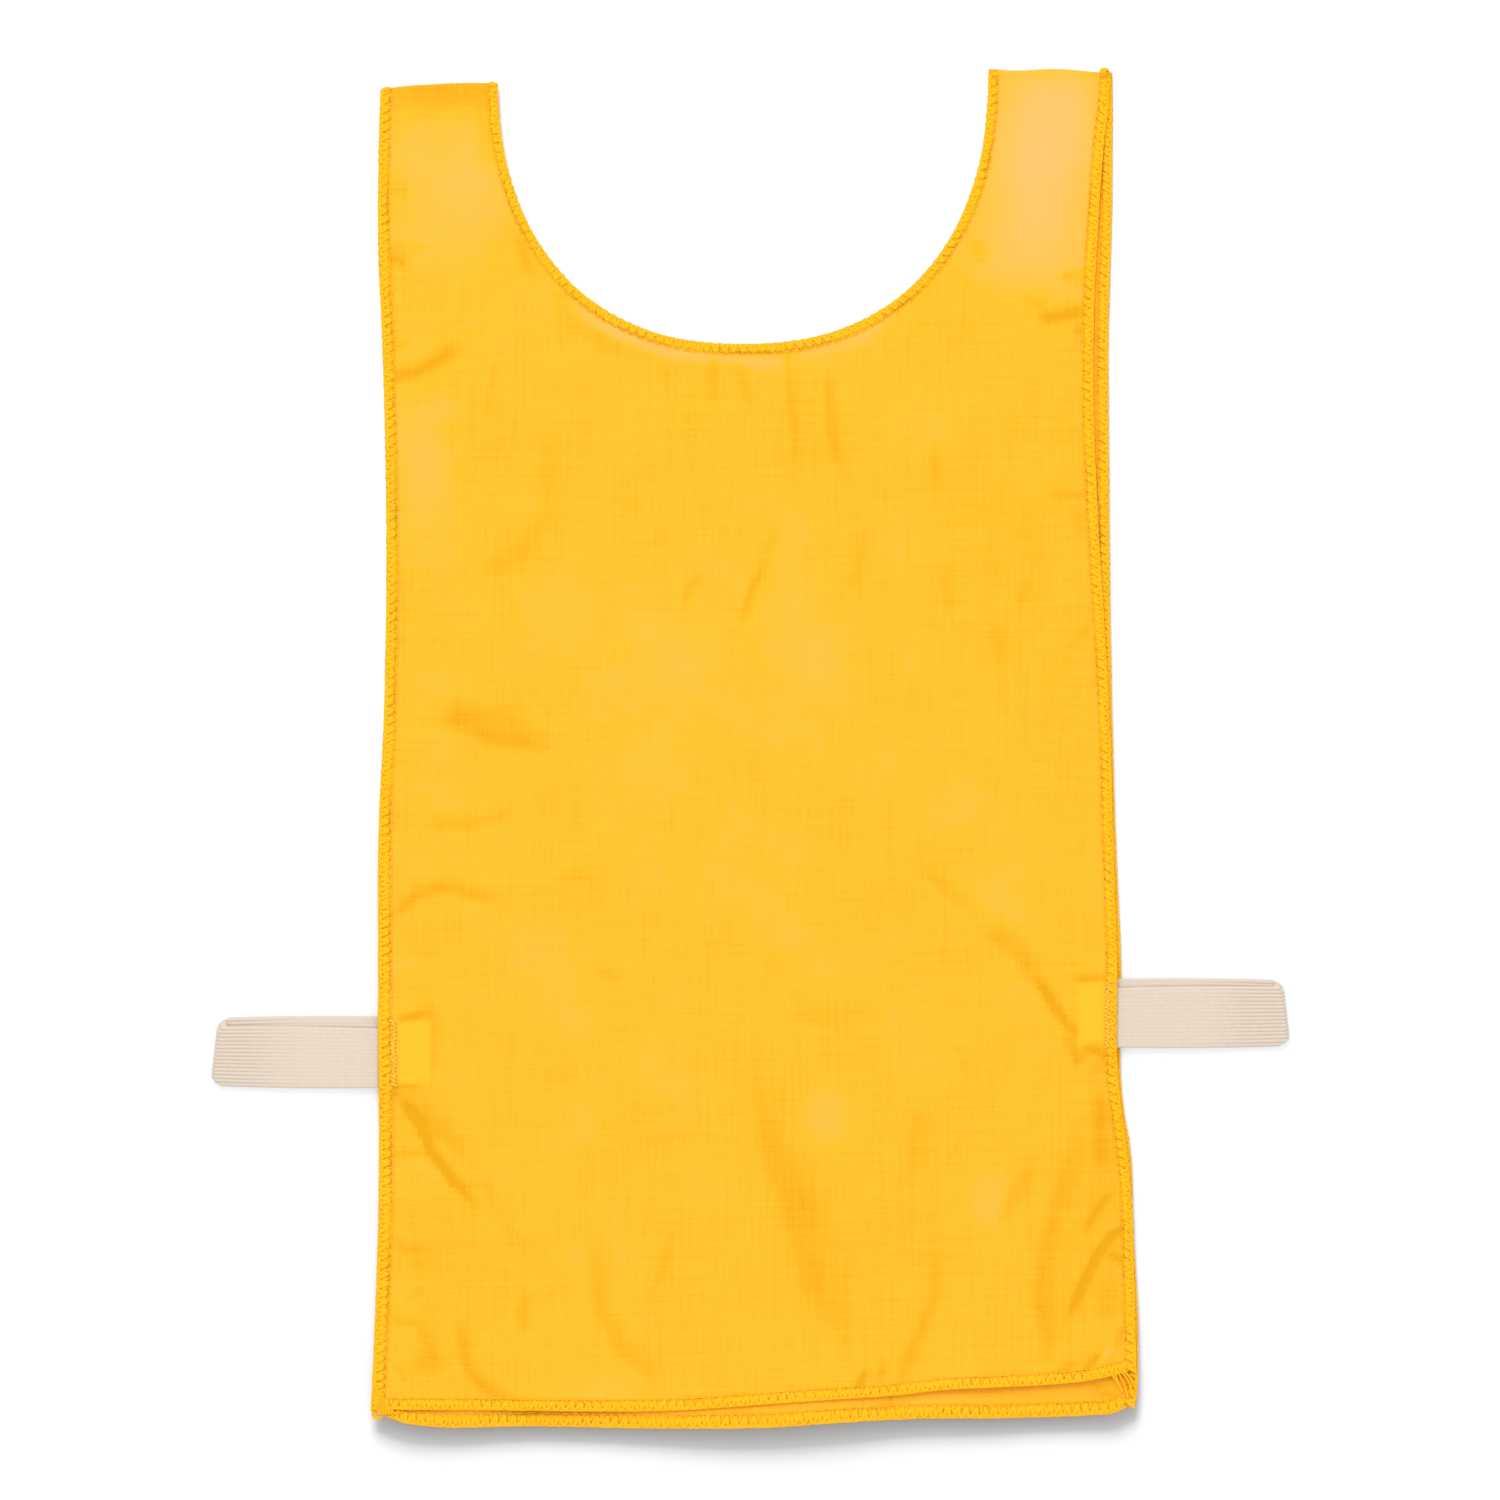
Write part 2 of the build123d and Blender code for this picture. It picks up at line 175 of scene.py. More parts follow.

# Creases: width, depth of colour, which is painted shade (below 0 is paler, a painted highlight),
# then the points each passes, in millimetres. The front's cloth is also sunk along them, raised
# where below 0
CREASES = (
    (1.4, 0.9, (-149, 201), (-145, 201), (-141, 198.5)),
    (1.6, 0.35, (-149, 229), (-140, 228)),
    (1.3, 0.2, (-148, 206), (-131, 205.5)),
    (2.8, 0.75, (-150, 151.5), (-138, 154.5), (-128, 160), (-117, 169)),
    (1.4, 0.35, (-148, 165), (-141, 166)),
    (2.5, 0.45, (-97, 212), (-90, 193)),
    (3.2, 0.22, (-80, 188), (-76, 177), (-60, 165), (-42, 160)),
    (3.4, -0.34, (-74, 182), (-55, 170.5), (-35, 163.5), (-14, 160.5), (14, 160.5)),
    (3.0, -0.18, (20, 161.5), (45, 169), (62, 181)),
    (2.0, 0.2, (-105, 160), (-108, 135)),
    (1.4, 0.4, (128, 194), (139, 195)),
    (2.6, 0.8, (119, 176), (130, 178.2), (141, 181)),
    (1.3, 0.8, (133, 171.5), (141, 172)),
    (2.4, 0.25, (113, 184), (122, 182)),
    (4.0, 0.22, (91, 209), (97, 198)),
    (1.4, 0.4, (-16, 161), (-15, 140)),
    (1.5, 0.28, (-6, 158), (1, 138)),
    (2.0, 0.38, (15, 160), (18, 128), (18, 102)),
    (1.4, 0.22, (-35, 158), (-34, 144)),
    (2.3, 0.42, (31, 154), (33, 128), (39, 108)),
    (4.6, 0.55, (-128, 14), (-108, 5), (-78, 0)),
    (4.0, 0.3, (-122, 15), (-105, 14), (-88, 8)),
    (5.0, 0.25, (-112, 70), (-95, 80), (-84, 96), (-84, 136)),
    (1.3, 0.4, (-27.5, 61), (-25, 68), (-17.5, 71.5)),
    (1.4, 0.55, (6, 77), (0, 65), (-5, 50)),
    (1.3, 0.4, (-149, 46), (-141, 43.5)),
    (1.6, 0.22, (-146, 61), (-139, 55)),
    (1.4, 0.4, (124, 104.5), (141, 104)),
    (3.4, 0.28, (133, 98), (139, 86)),
    (1.3, 0.3, (110.5, 60), (113.5, 71)),
    (1.3, 0.3, (132, 42), (140, 53)),
    (2.0, 0.25, (74, 124), (77, 106)),
    (2.8, 0.22, (78, 74), (82, 55)),
    (3.4, 0.22, (99, 50), (104, 34)),
    (2.6, 0.24, (48, 92), (44, 73), (33, 58)),
    (1.6, 0.25, (10, 92), (6, 78)),
    (2.6, 0.58, (-147, -68), (-138, -60), (-127, -57), (-114, -60), (-96, -65)),
    (2.6, 0.38, (-132, -31), (-115, -31), (-104, -28), (-92, -22)),
    (2.2, 0.24, (-140, -83), (-126, -84)),
    (1.8, 0.25, (-77, -53.5), (-64, -52)),
    (2.0, 0.3, (-64, -92), (-50, -95.5)),
    (1.3, 0.85, (-145, -112), (-137, -109.5), (-131.5, -106)),
    (1.6, 0.42, (-131.4, -103), (-131.4, -139)),
    (1.4, 0.6, (-147, -137.8), (-133, -138.4)),
    (2.0, 0.9, (-149, -139), (-145, -143)),
    (2.0, 1.15, (-144, -143), (-136, -155), (-131, -166), (-121, -179), (-110, -190)),
    (4.0, 0.42, (-140, -147), (-128, -157), (-115, -168)),
    (1.3, 0.45, (-149, -166.5), (-130, -165.5)),
    (4.0, 0.22, (-113, -174), (-103, -190), (-98, -203), (-82, -213)),
    (3.0, 0.22, (-137, -202), (-137, -217)),
    (1.3, 0.3, (-148, -201), (-138, -208)),
    (1.3, 0.3, (-140, -226), (-134, -220)),
    (1.5, 0.34, (-149, -234), (-138, -236), (-134, -240), (-131, -247), (-129, -260)),
    (5.0, 0.25, (-136, -245), (-135, -258)),
    (2.5, 0.55, (-120, -236), (-117, -252), (-113, -259), (-104, -266), (-93, -269)),
    (1.3, 0.38, (-93.5, -223), (-94, -242)),
    (4.0, 0.38, (-65, -200), (-62, -230), (-55, -245), (-47, -252), (-33, -265)),
    (1.6, 0.24, (-32, -197), (-37, -215), (-42, -228)),
    (1.3, 0.4, (-146, -253), (-140, -260)),
    (7.0, 0.33, (2, -136), (8, -165), (14, -180), (20, -200), (27, -225), (38, -240), (46, -255)),
    (4.0, 0.2, (20, -182), (28, -200)),
    (1.5, 0.75, (43, -264), (48, -253)),
    (2.0, 0.45, (51, -260), (56, -251)),
    (2.6, 0.38, (60, -264), (64, -250), (70, -238), (75, -225), (74, -202)),
    (4.0, 0.22, (66, -178), (69, -142)),
    (1.6, 0.2, (81, -170), (87, -158)),
    (3.0, 0.3, (103, -194), (113, -175), (117, -165)),
    (4.2, 0.36, (122, -248), (118, -225), (122, -200), (131, -170), (137, -146)),
    (3.6, 0.5, (142, -140), (144, -176)),
    (1.7, 0.58, (137, -198), (143, -188), (150, -180)),
    (1.9, 1.05, (159, -194), (148, -200), (142, -208), (137, -218), (129, -237)),
    (1.5, 0.6, (147, -207), (157, -213)),
    (1.9, 0.65, (154, -236), (147, -250), (140, -257)),
    (1.3, -0.7, (150, -244), (142, -254)),
    (1.6, 0.75, (145, -248), (139, -252), (136, -258)),
    (1.4, 0.5, (134, -251), (122, -258)),
    (7.0, 0.22, (146, -216), (146, -236)),
    (2.6, 0.32, (70, -48), (82, -60), (98, -71)),
    (4.0, 0.42, (96, -74), (108, -82), (115, -92), (121, -99)),
    (1.4, 1.1, (118, -95), (126, -108), (132, -116)),
    (1.6, 0.65, (130, -114.5), (138, -117.5)),
    (1.4, 0.65, (133, -94.6), (149, -93.4)),
    (1.4, 0.9, (137, -122.4), (149, -119.6)),
    (1.3, 0.75, (139, -121.5), (147, -128)),
    (1.8, 0.5, (129.5, -118), (134, -129)),
    (1.4, 0.45, (133, -129), (140, -123.5)),
    (1.4, 0.35, (148, -131), (139, -131.5)),
    (5.0, 0.22, (18, -107), (35, -112), (58, -108)),
)
# Creases on the back, painted as shade only: the back's cloth is not sunk along them. Same columns
# as the front's
BACK_PAINTED_CREASES = (
    (2.2, 0.4, (57, -264), (56, -277)),
    (1.8, 0.6, (140, -262), (147, -266), (154, -264.5)),
)
# Soft patches of painted shade, and of painted highlight where below 0: x, y, half width, half
# height, depth of colour (below 0 is paler)
LIGHT_AND_SHADE_PATCHES = (
    (-128, 272, 40, 9, 0.5), (-107, 255, 5, 16, 0.3), (-128, 238, 26, 20, 0.12),
    (106, 270, 7, 9, 0.1), (128, 279, 30, 4, 0.15), (120, 248, 19, 32, -0.55),
    (134, 262, 8, 22, -0.2), (116, 208, 24, 18, -0.2), (-134, 116, 9, 20, -0.15),
    (-126, 140, 10, 6, -0.14), (110, 80, 34, 60, 0.13), (-30, 125, 80, 30, 0.07),
    (40, -195, 60, 60, 0.1), (140, -200, 22, 60, 0.16), (-120, -225, 30, 40, 0.1),
    (30, -150, 14, 16, -0.14), (100, -185, 10, 14, -0.12), (-15, 40, 60, 40, -0.06),
    (-128, -255, 12, 10, 0.1), (8, 158, 9, 3, -0.2), (150, -100, 5, 22, 0.25),
    (-125, 236, 24, 28, -0.3), (-128, 270, 26, 6, 0.12),
)

# The studio, in metres and watts. A lamp is its name, place, size and power.
FLOOR_SIZE = 6.0
FLOOR_DROP = 0.0003
WORLD_LIGHT = 1.1
LAMPS = (("key", (-1.1, 3.3, 3.3), 2.6, 88.0), ("floor_key", (-0.5, 4.05, 2.6), 2.0, 440.0))
CAMERA_HEIGHT = 4.0
VIEW_WIDTH = 0.6165
SENSOR_WIDTH = 36.0


def metres(name, description, default, least=0.0):
    """A length in metres, as a property."""
    return bpy.props.FloatProperty(
        name=name, description=description, default=default, min=least, unit="LENGTH")


def tint(name, description, default):
    """A colour, as a property."""
    return bpy.props.FloatVectorProperty(
        name=name, description=description, default=default, subtype="COLOR", size=3)


class BibSizes(bpy.types.PropertyGroup):
    """Sizes of the bib's cloth, stitching and elastic"""

    front_cell: metres("Front cell", "Spacing of the front cloth's mesh", 0.00188, 0.001)
    back_cell: metres("Back cell", "Spacing of the back cloth's mesh", 0.0026, 0.001)
    cloth_thickness: metres("Cloth thickness", "Thickness of the nylon cloth", 0.00022)
    shoulder_turn: metres("Shoulder turn", "Cloth that bends as the front lifts", 0.11, 0.01)
    seam_width: metres("Seam width", "Cut edge to needle row", 0.0044, 0.001)
    stitch_length: metres("Stitch length", "Length of one overlock stitch", 0.0038, 0.001)
    yarn_radius: metres("Yarn radius", "Half the width of the looper yarn", 0.0011)
    needle_radius: metres("Needle radius", "Half the needle thread's thickness", 0.00024)
    band_thickness: metres("Elastic thickness", "Thickness of the elastic", 0.00095)
    ribs: bpy.props.IntProperty(
        name="Ribs", description="Ribs in the elastic, one over each strand", default=16, min=4)
    yarn_press: bpy.props.FloatProperty(
        name="Yarn press", description="Pressed yarn's height against its width", default=0.26,
        min=0.1)


class BibColours(bpy.types.PropertyGroup):
    """Colours of the bib's materials"""

    cloth: tint("Cloth", "Nylon cloth", (0.955, 0.42, 0.017))
    # Painted shade of the creases, patches and seams; the weave's slubs and grain also deepen
    # towards it
    cloth_shade_and_slubs: tint("Cloth, deep", "Cloth in its creases", (0.7, 0.328, 0.001))
    # Painted highlight: the paler colour of cloth that catches more light
    cloth_highlight: tint("Cloth, pale", "Cloth with light behind it", (0.72, 0.44, 0.145))
    thread: tint("Thread", "Overlock yarn", (1.0, 0.5, 0.006))
    thread_deep: tint("Thread, deep", "Yarn between its filaments", (0.98, 0.4, 0.002))
    bartack: tint("Bartack thread", "Thread that holds the elastic", (1.0, 0.62, 0.06))
    elastic: tint("Elastic", "Cream elastic", (0.63, 0.537, 0.437))
    # The elastic's deep colour is painted shade in its grooves, and also colours its random worn
    # patches
    elastic_shade_and_wear: tint("Elastic, deep", "Grooves of the elastic", (0.44, 0.34, 0.26))
    floor: tint("Floor", "Studio floor", (0.49, 0.5, 0.513))


# Shapes of the cloth


def along(points, at):
    """Smooth curve through a few (position, value) points."""
    knots = np.array([p for p, _ in points], float)
    values = np.array([v for _, v in points], float)
    slopes = np.gradient(values, knots)
    at = np.clip(np.asarray(at, float), knots[0], knots[-1])
    i = np.clip(np.searchsorted(knots, at) - 1, 0, len(knots) - 2)
    gap = knots[i + 1] - knots[i]
    t = (at - knots[i]) / gap
    rise = (2 * t**3 - 3 * t**2 + 1) * values[i] + (3 * t**2 - 2 * t**3) * values[i + 1]
    return rise + gap * ((t**3 - 2 * t**2 + t) * slopes[i] + (t**3 - t**2) * slopes[i + 1])


def ease(t):
    """0 to 1 with a soft start and end."""
    t = np.clip(t, 0.0, 1.0)
    return t * t * (3 - 2 * t)


def side_x(panel, side_name, y):
    return SIDES[side_name] * along(EDGES[panel][side_name], y)


def hem_y(panel, x):
    return along(EDGES[panel]["hem"], x)


def shoulder_y(x):
    return along(SHOULDER, x)


def neck_size(panel):
    grow = BACK_NECK_GROW if panel == "back" else 0.0
    return NECK_HALF + grow, NECK_DEPTH + grow


def neck_reach(panel, x, y):
    """1 on the neckline, below 1 in the opening."""
    half, depth = neck_size(panel)
    down = np.maximum(NECK_TOP - np.asarray(y, float), 0) / depth
    across = np.abs(np.asarray(x, float) - NECK_MIDDLE) / half
    return (across**NECK_SHAPE + down**NECK_SHAPE) ** (1 / NECK_SHAPE)


def neck_point(panel, turn):
    """A point on the neckline. turn goes from 0 at the left shoulder to pi at the right."""
    half, depth = neck_size(panel)
    c, s = math.cos(turn), math.sin(turn)
    power = 2 / NECK_SHAPE
    x = NECK_MIDDLE - math.copysign(abs(c) ** power, c) * half
    return x, NECK_TOP - abs(s) ** power * depth


def crease(x, y, width, points):
    """1 on a line through the points, fading towards its ends and sharper on its lower left."""
    points, width = np.array(points, float), max(width, CREASE_LEAST)
    margin = 4 * width
    low, high = points.min(axis=0) - margin, points.max(axis=0) + margin
    near = (x > low[0]) & (x < high[0]) & (y > low[1]) & (y < high[1])
    strength = np.zeros_like(x)
    px, py = x[near], y[near]
    steps = np.linalg.norm(np.diff(points, axis=0), axis=1)
    length, done = steps.sum(), 0.0
    nearest, place, side = np.full(px.shape, 1e9), np.zeros_like(px), np.ones_like(px)
    for (x1, y1), (x2, y2), step in zip(points, points[1:], steps):
        t = np.clip(((px - x1) * (x2 - x1) + (py - y1) * (y2 - y1)) / step**2, 0, 1)
        gap_x, gap_y = px - x1 - t * (x2 - x1), py - y1 - t * (y2 - y1)
        gap = np.hypot(gap_x, gap_y)
        closer = gap < nearest
        nearest = np.where(closer, gap, nearest)
        place = np.where(closer, (done + t * step) / length, place)
        side = np.where(closer, (gap_x + 0.7 * gap_y) / np.maximum(gap, 0.01), side)
        done += step
    ends = ease(place * 4 + 0.35) * ease((1 - place) * 2.6 + 0.12)
    spread = width * (1.0 + 0.42 * np.clip(side, -1, 1))
    strength[near] = np.exp(-((nearest / spread) ** 2)) * ends
    return strength


def band_inner(side_name):
    """Where the sewn end of an elastic stops, under the cloth."""
    return band_root(side_name) - TAIL_LENGTH[side_name]


def band_cover(side_name, x, y, blur=1.6):
    """1 where the sewn end of an elastic lies under the cloth, with a soft edge."""
    over = ease((SIDES[side_name] * x - band_inner(side_name)) / blur + 0.5)
    away = np.abs(y - BAND_MIDDLE[side_name] + 0.4)
    return over * ease((BAND_HALF + 0.6 - away) / blur + 0.5)


def band_root(side_name):
    """Where an elastic comes out from under the front panel's edge."""
    return float(side_x("front", side_name, BAND_MIDDLE[side_name])) * SIDES[side_name] - 0.7


def ripples(x, y, seed):
    """Slow, uneven swells of cloth that lies loose, about 1 high."""
    dice = random.Random(seed)
    total = np.zeros_like(x)
    waves = 9
    for _ in range(waves):
        angle = dice.uniform(0, math.pi)
        wave = dice.uniform(34, 90)
        phase = dice.uniform(0, 2 * math.pi)
        bend = dice.uniform(-1, 1) * 9
        place = x * math.cos(angle) + y * math.sin(angle) + bend * np.sin(y / 47 + phase)
        total += np.sin(2 * math.pi * place / wave + phase)
    return total / (waves / 2)


def edge_puckers(panel, x, y):
    """Small gathers where the side seams draw the cloth in."""
    reach_up, gathers = 255, 46
    dice = random.Random(11)
    total = np.zeros_like(x)
    for side_name, side in SIDES.items():
        inset = side * (side_x(panel, side_name, y) - x)
        for _ in range(gathers):
            at = dice.uniform(-reach_up, reach_up)
            reach = dice.uniform(5, 14)
            size = dice.uniform(-1, 1)
            lean = dice.uniform(-0.25, 0.25)
            wide = dice.uniform(1.6, 3.2)
            row = np.exp(-((y - at - lean * inset) / wide) ** 2)
            total += size * row * np.exp(-(inset / reach) ** 2) * (np.abs(y) < reach_up + 7)
    return total


def edge_inset(panel, x, y):
    """Distance in from the nearer side edge."""
    return np.minimum(x - side_x(panel, "left", y), side_x(panel, "right", y) - x)


def cloth_height(panel, x, y):
    """Height of the middle of the cloth, in millimetres."""
    x, y = np.atleast_1d(np.asarray(x, float)), np.atleast_1d(np.asarray(y, float))
    calm = ease((shoulder_y(x) - y) / CALM_REACH)
    lift = np.exp(-np.maximum(y - hem_y(panel, x), 0) / CURL_REACH)
    if panel == "back":
        swell = 0.35 * (1 + ripples(x, y, 3)) * calm * ease(edge_inset(panel, x, y) / 14)
        curl = HEM_CURL * lift * (0.82 + 0.18 * np.sin(x / 31 + 1))
        return LEVEL["back"] + np.maximum(swell, 0) + curl
    inset = edge_inset(panel, x, y)
    height = SIDE_LEVEL + (LEVEL["front"] - SIDE_LEVEL) * ease(inset / 16)
    height = height + 0.55 * calm * np.maximum(ripples(x, y, 5), -1.2) * ease(inset / 12)
    for width, depth, *points in CREASES:
        height = height - (0.16 + 0.22 * math.sqrt(width)) * depth * crease(x, y, width, points)
    height = height + 0.32 * edge_puckers(panel, x, y) * calm
    height = np.maximum(height, SIDE_LEVEL)
    for side_name, side in SIDES.items():
        away_y = np.maximum(np.abs(y - BAND_MIDDLE[side_name]) - BAND_HALF - 1, 0)
        away_x = np.maximum(band_inner(side_name) - side * x, 0)
        near = np.exp(-((away_y / 7) ** 2) - (away_x / 9) ** 2)
        height = height + near * np.maximum(OVER_BAND - height, 0)
    height = height + HEM_CURL * FRONT_CURL * lift
    return np.maximum(height, cloth_height("back", x, y) + LAYER_GAP)


def seam_spread(y):
    """How many times its usual width the left seam is at that height."""
    return 1 + LEFT_SPREAD * ease((LEFT_SPREAD_FROM - y) / LEFT_SPREAD_OVER)


def cloth_shade_and_tone(panel, x, y):
    """How deep (above 0) or pale (below 0) the cloth's colour is: painted shade and painted
    highlight, with a little random unevenness.
    """
    tone = 0.06 * ripples(x, y, 8)
    # Painted shade along the creases, and painted highlight along those below 0
    for width, depth, *points in CREASES if panel == "front" else BACK_PAINTED_CREASES:
        tone = tone + CREASE_SHADE * depth * crease(x, y, width, points)
    # Painted shade and painted highlight in soft patches, as at the shoulder folds and on the right
    # strap
    for cx, cy, wide, tall, depth in LIGHT_AND_SHADE_PATCHES:
        spot = np.exp(-(((x - cx) / wide) ** 2) - ((y - cy) / tall) ** 2)
        tone = tone + PATCH_SHADE * depth * spot
    # Painted shade and painted highlight on the gathers along the side seams
    tone = tone + 0.16 * np.clip(edge_puckers(panel, x, y), -1, 1)
    # Painted shade under the stitching: within each seam the cloth deepens in colour, so the gaps
    # between the stitches look shaded
    past = (neck_reach(panel, x, y) - 1) * NECK_HALF
    inset = np.minimum(edge_inset(panel, x, y), y - hem_y(panel, x))
    inset = np.minimum(inset, np.where(y < NECK_TOP, past, 99))
    sewn = 3.6 * np.where(x < 0, seam_spread(y), 1)
    tone = tone + SEAM_SHADE * ease((sewn - inset) / 1.5)
    # Painted shade on the back where the front lies over it, fading out within a few millimetres
    # below the front's hem
    if panel == "back":
        tone = tone + 0.12 * ease((y - hem_y("front", x) + 5) / 8)
    return tone


def band_tone(x, y):
    """Where cream elastic shows through the cloth."""
    return sum(band_cover(name, x, y) for name in SIDES)


# Meshes and pieces


def panel_mesh(panel, sizes):
    """The cloth of one panel as a bmesh, in metres. The front runs on over the shoulder folds."""
    cell = (sizes.front_cell if panel == "front" else sizes.back_cell) / MM
    long, wide, bottom = 552, 306, -272
    rows, columns = round(long / cell), round(wide / cell)
    turns = 8 if panel == "front" else 0
    bm = bmesh.new()
    bmesh.ops.create_grid(bm, x_segments=columns, y_segments=rows + turns, size=0.5, calc_uvs=True)
    bm.verts.ensure_lookup_table()
    grid = np.array([v.co for v in bm.verts])
    s = grid[:, 0] + 0.5
    row = np.rint((grid[:, 1] + 0.5) * (rows + turns))
    t = np.minimum(row / rows, 1.0)
    y = bottom + t * 546
    for _ in range(3):
        left, right = side_x(panel, "left", y), side_x(panel, "right", y)
        x = left + (right - left) * s
        hem = hem_y(panel, x)
        y = hem + (shoulder_y(x) - hem) * t
    reach = neck_reach(panel, x, y)
    safe_reach = np.maximum(reach, 1e-6)
    from_middle = np.hypot(x - NECK_MIDDLE, np.maximum(NECK_TOP - y, 0.0))
    distance = from_middle * (reach - 1) / safe_reach
    hole = distance < -0.45 * cell
    near = (distance < 0.55 * cell) & ~hole
    scale = np.where(near, 1 / safe_reach, 1.0)
    x = NECK_MIDDLE + (x - NECK_MIDDLE) * scale
    y = np.where(y < NECK_TOP, NECK_TOP - (NECK_TOP - y) * scale, y)
    z = cloth_height(panel, x, y)
    tone, through = cloth_shade_and_tone(panel, x, y), band_tone(x, y)
    flat_y = y + (row - np.minimum(row, rows)) * 0.5
    if turns:
        angle = np.maximum(row - rows, 0) / turns * math.pi
        middle = (z + LEVEL["back"]) / 2
        radius = z - middle
        past = row > rows
        y = np.where(past, y + radius * np.sin(angle), y)
        z = np.where(past, middle + radius * np.cos(angle), z)
    # The tone attribute holds painted shade and painted highlight, with a little random unevenness
    tones = bm.verts.layers.float.new("tone")
    covers = bm.verts.layers.float.new("through")
    for i, v in enumerate(bm.verts):
        v.co = Vector((x[i], y[i], z[i])) * MM
        v[tones] = tone[i]
        v[covers] = through[i]
    uv = bm.loops.layers.uv.verify()
    for face in bm.faces:
        for loop in face.loops:
            loop[uv].uv = (x[loop.vert.index] * MM, flat_y[loop.vert.index] * MM)
    bmesh.ops.delete(bm, geom=[v for i, v in enumerate(bm.verts) if hole[i]], context="VERTS")
    return bm


def finish_mesh(bm, name, material, smooth=True):
    """A piece made from a bmesh, which is freed."""
    mesh = bpy.data.meshes.new(name)
    bm.to_mesh(mesh)
    bm.free()
    return add_piece(mesh, name, material, smooth)


def add_piece(mesh, name, material, smooth=True):
    """Puts a mesh in the scene as a piece of one material."""
    for polygon in mesh.polygons:
        polygon.use_smooth = smooth
    mesh.materials.clear()
    mesh.materials.append(material)
    piece = bpy.data.objects.new(name, mesh)
    bpy.context.scene.collection.objects.link(piece)
    return piece


def yarn(lines, name, radius, material, rounding=2, loops=0):
    """Round yarn along smooth lines, as one piece.

    Each line is its points, in millimetres, and its thickness at each of them.
    """
    curve = bpy.data.curves.new(name, "CURVE")
    curve.dimensions = "3D"
    curve.bevel_depth = radius
    curve.bevel_resolution = loops
    curve.use_fill_caps = True
    for places, thick in lines:
        places = np.asarray(places, float)
        spline = curve.splines.new("NURBS")
        count = len(places)
        spline.points.add(count - 1)
        spline.points.foreach_set("co", np.column_stack((places * MM, np.ones(count))).ravel())
        thick = np.broadcast_to(np.asarray(thick, float), count).copy()
        spline.points.foreach_set("radius", thick)
        spline.order_u = 3
        spline.use_endpoint_u = True
        spline.resolution_u = rounding
    holder = bpy.data.objects.new(name, curve)
    mesh = bpy.data.meshes.new_from_object(holder)
    bpy.data.objects.remove(holder)
    bpy.data.curves.remove(curve)
    mesh.name = name
    return add_piece(mesh, name, material)


# Overlock stitching


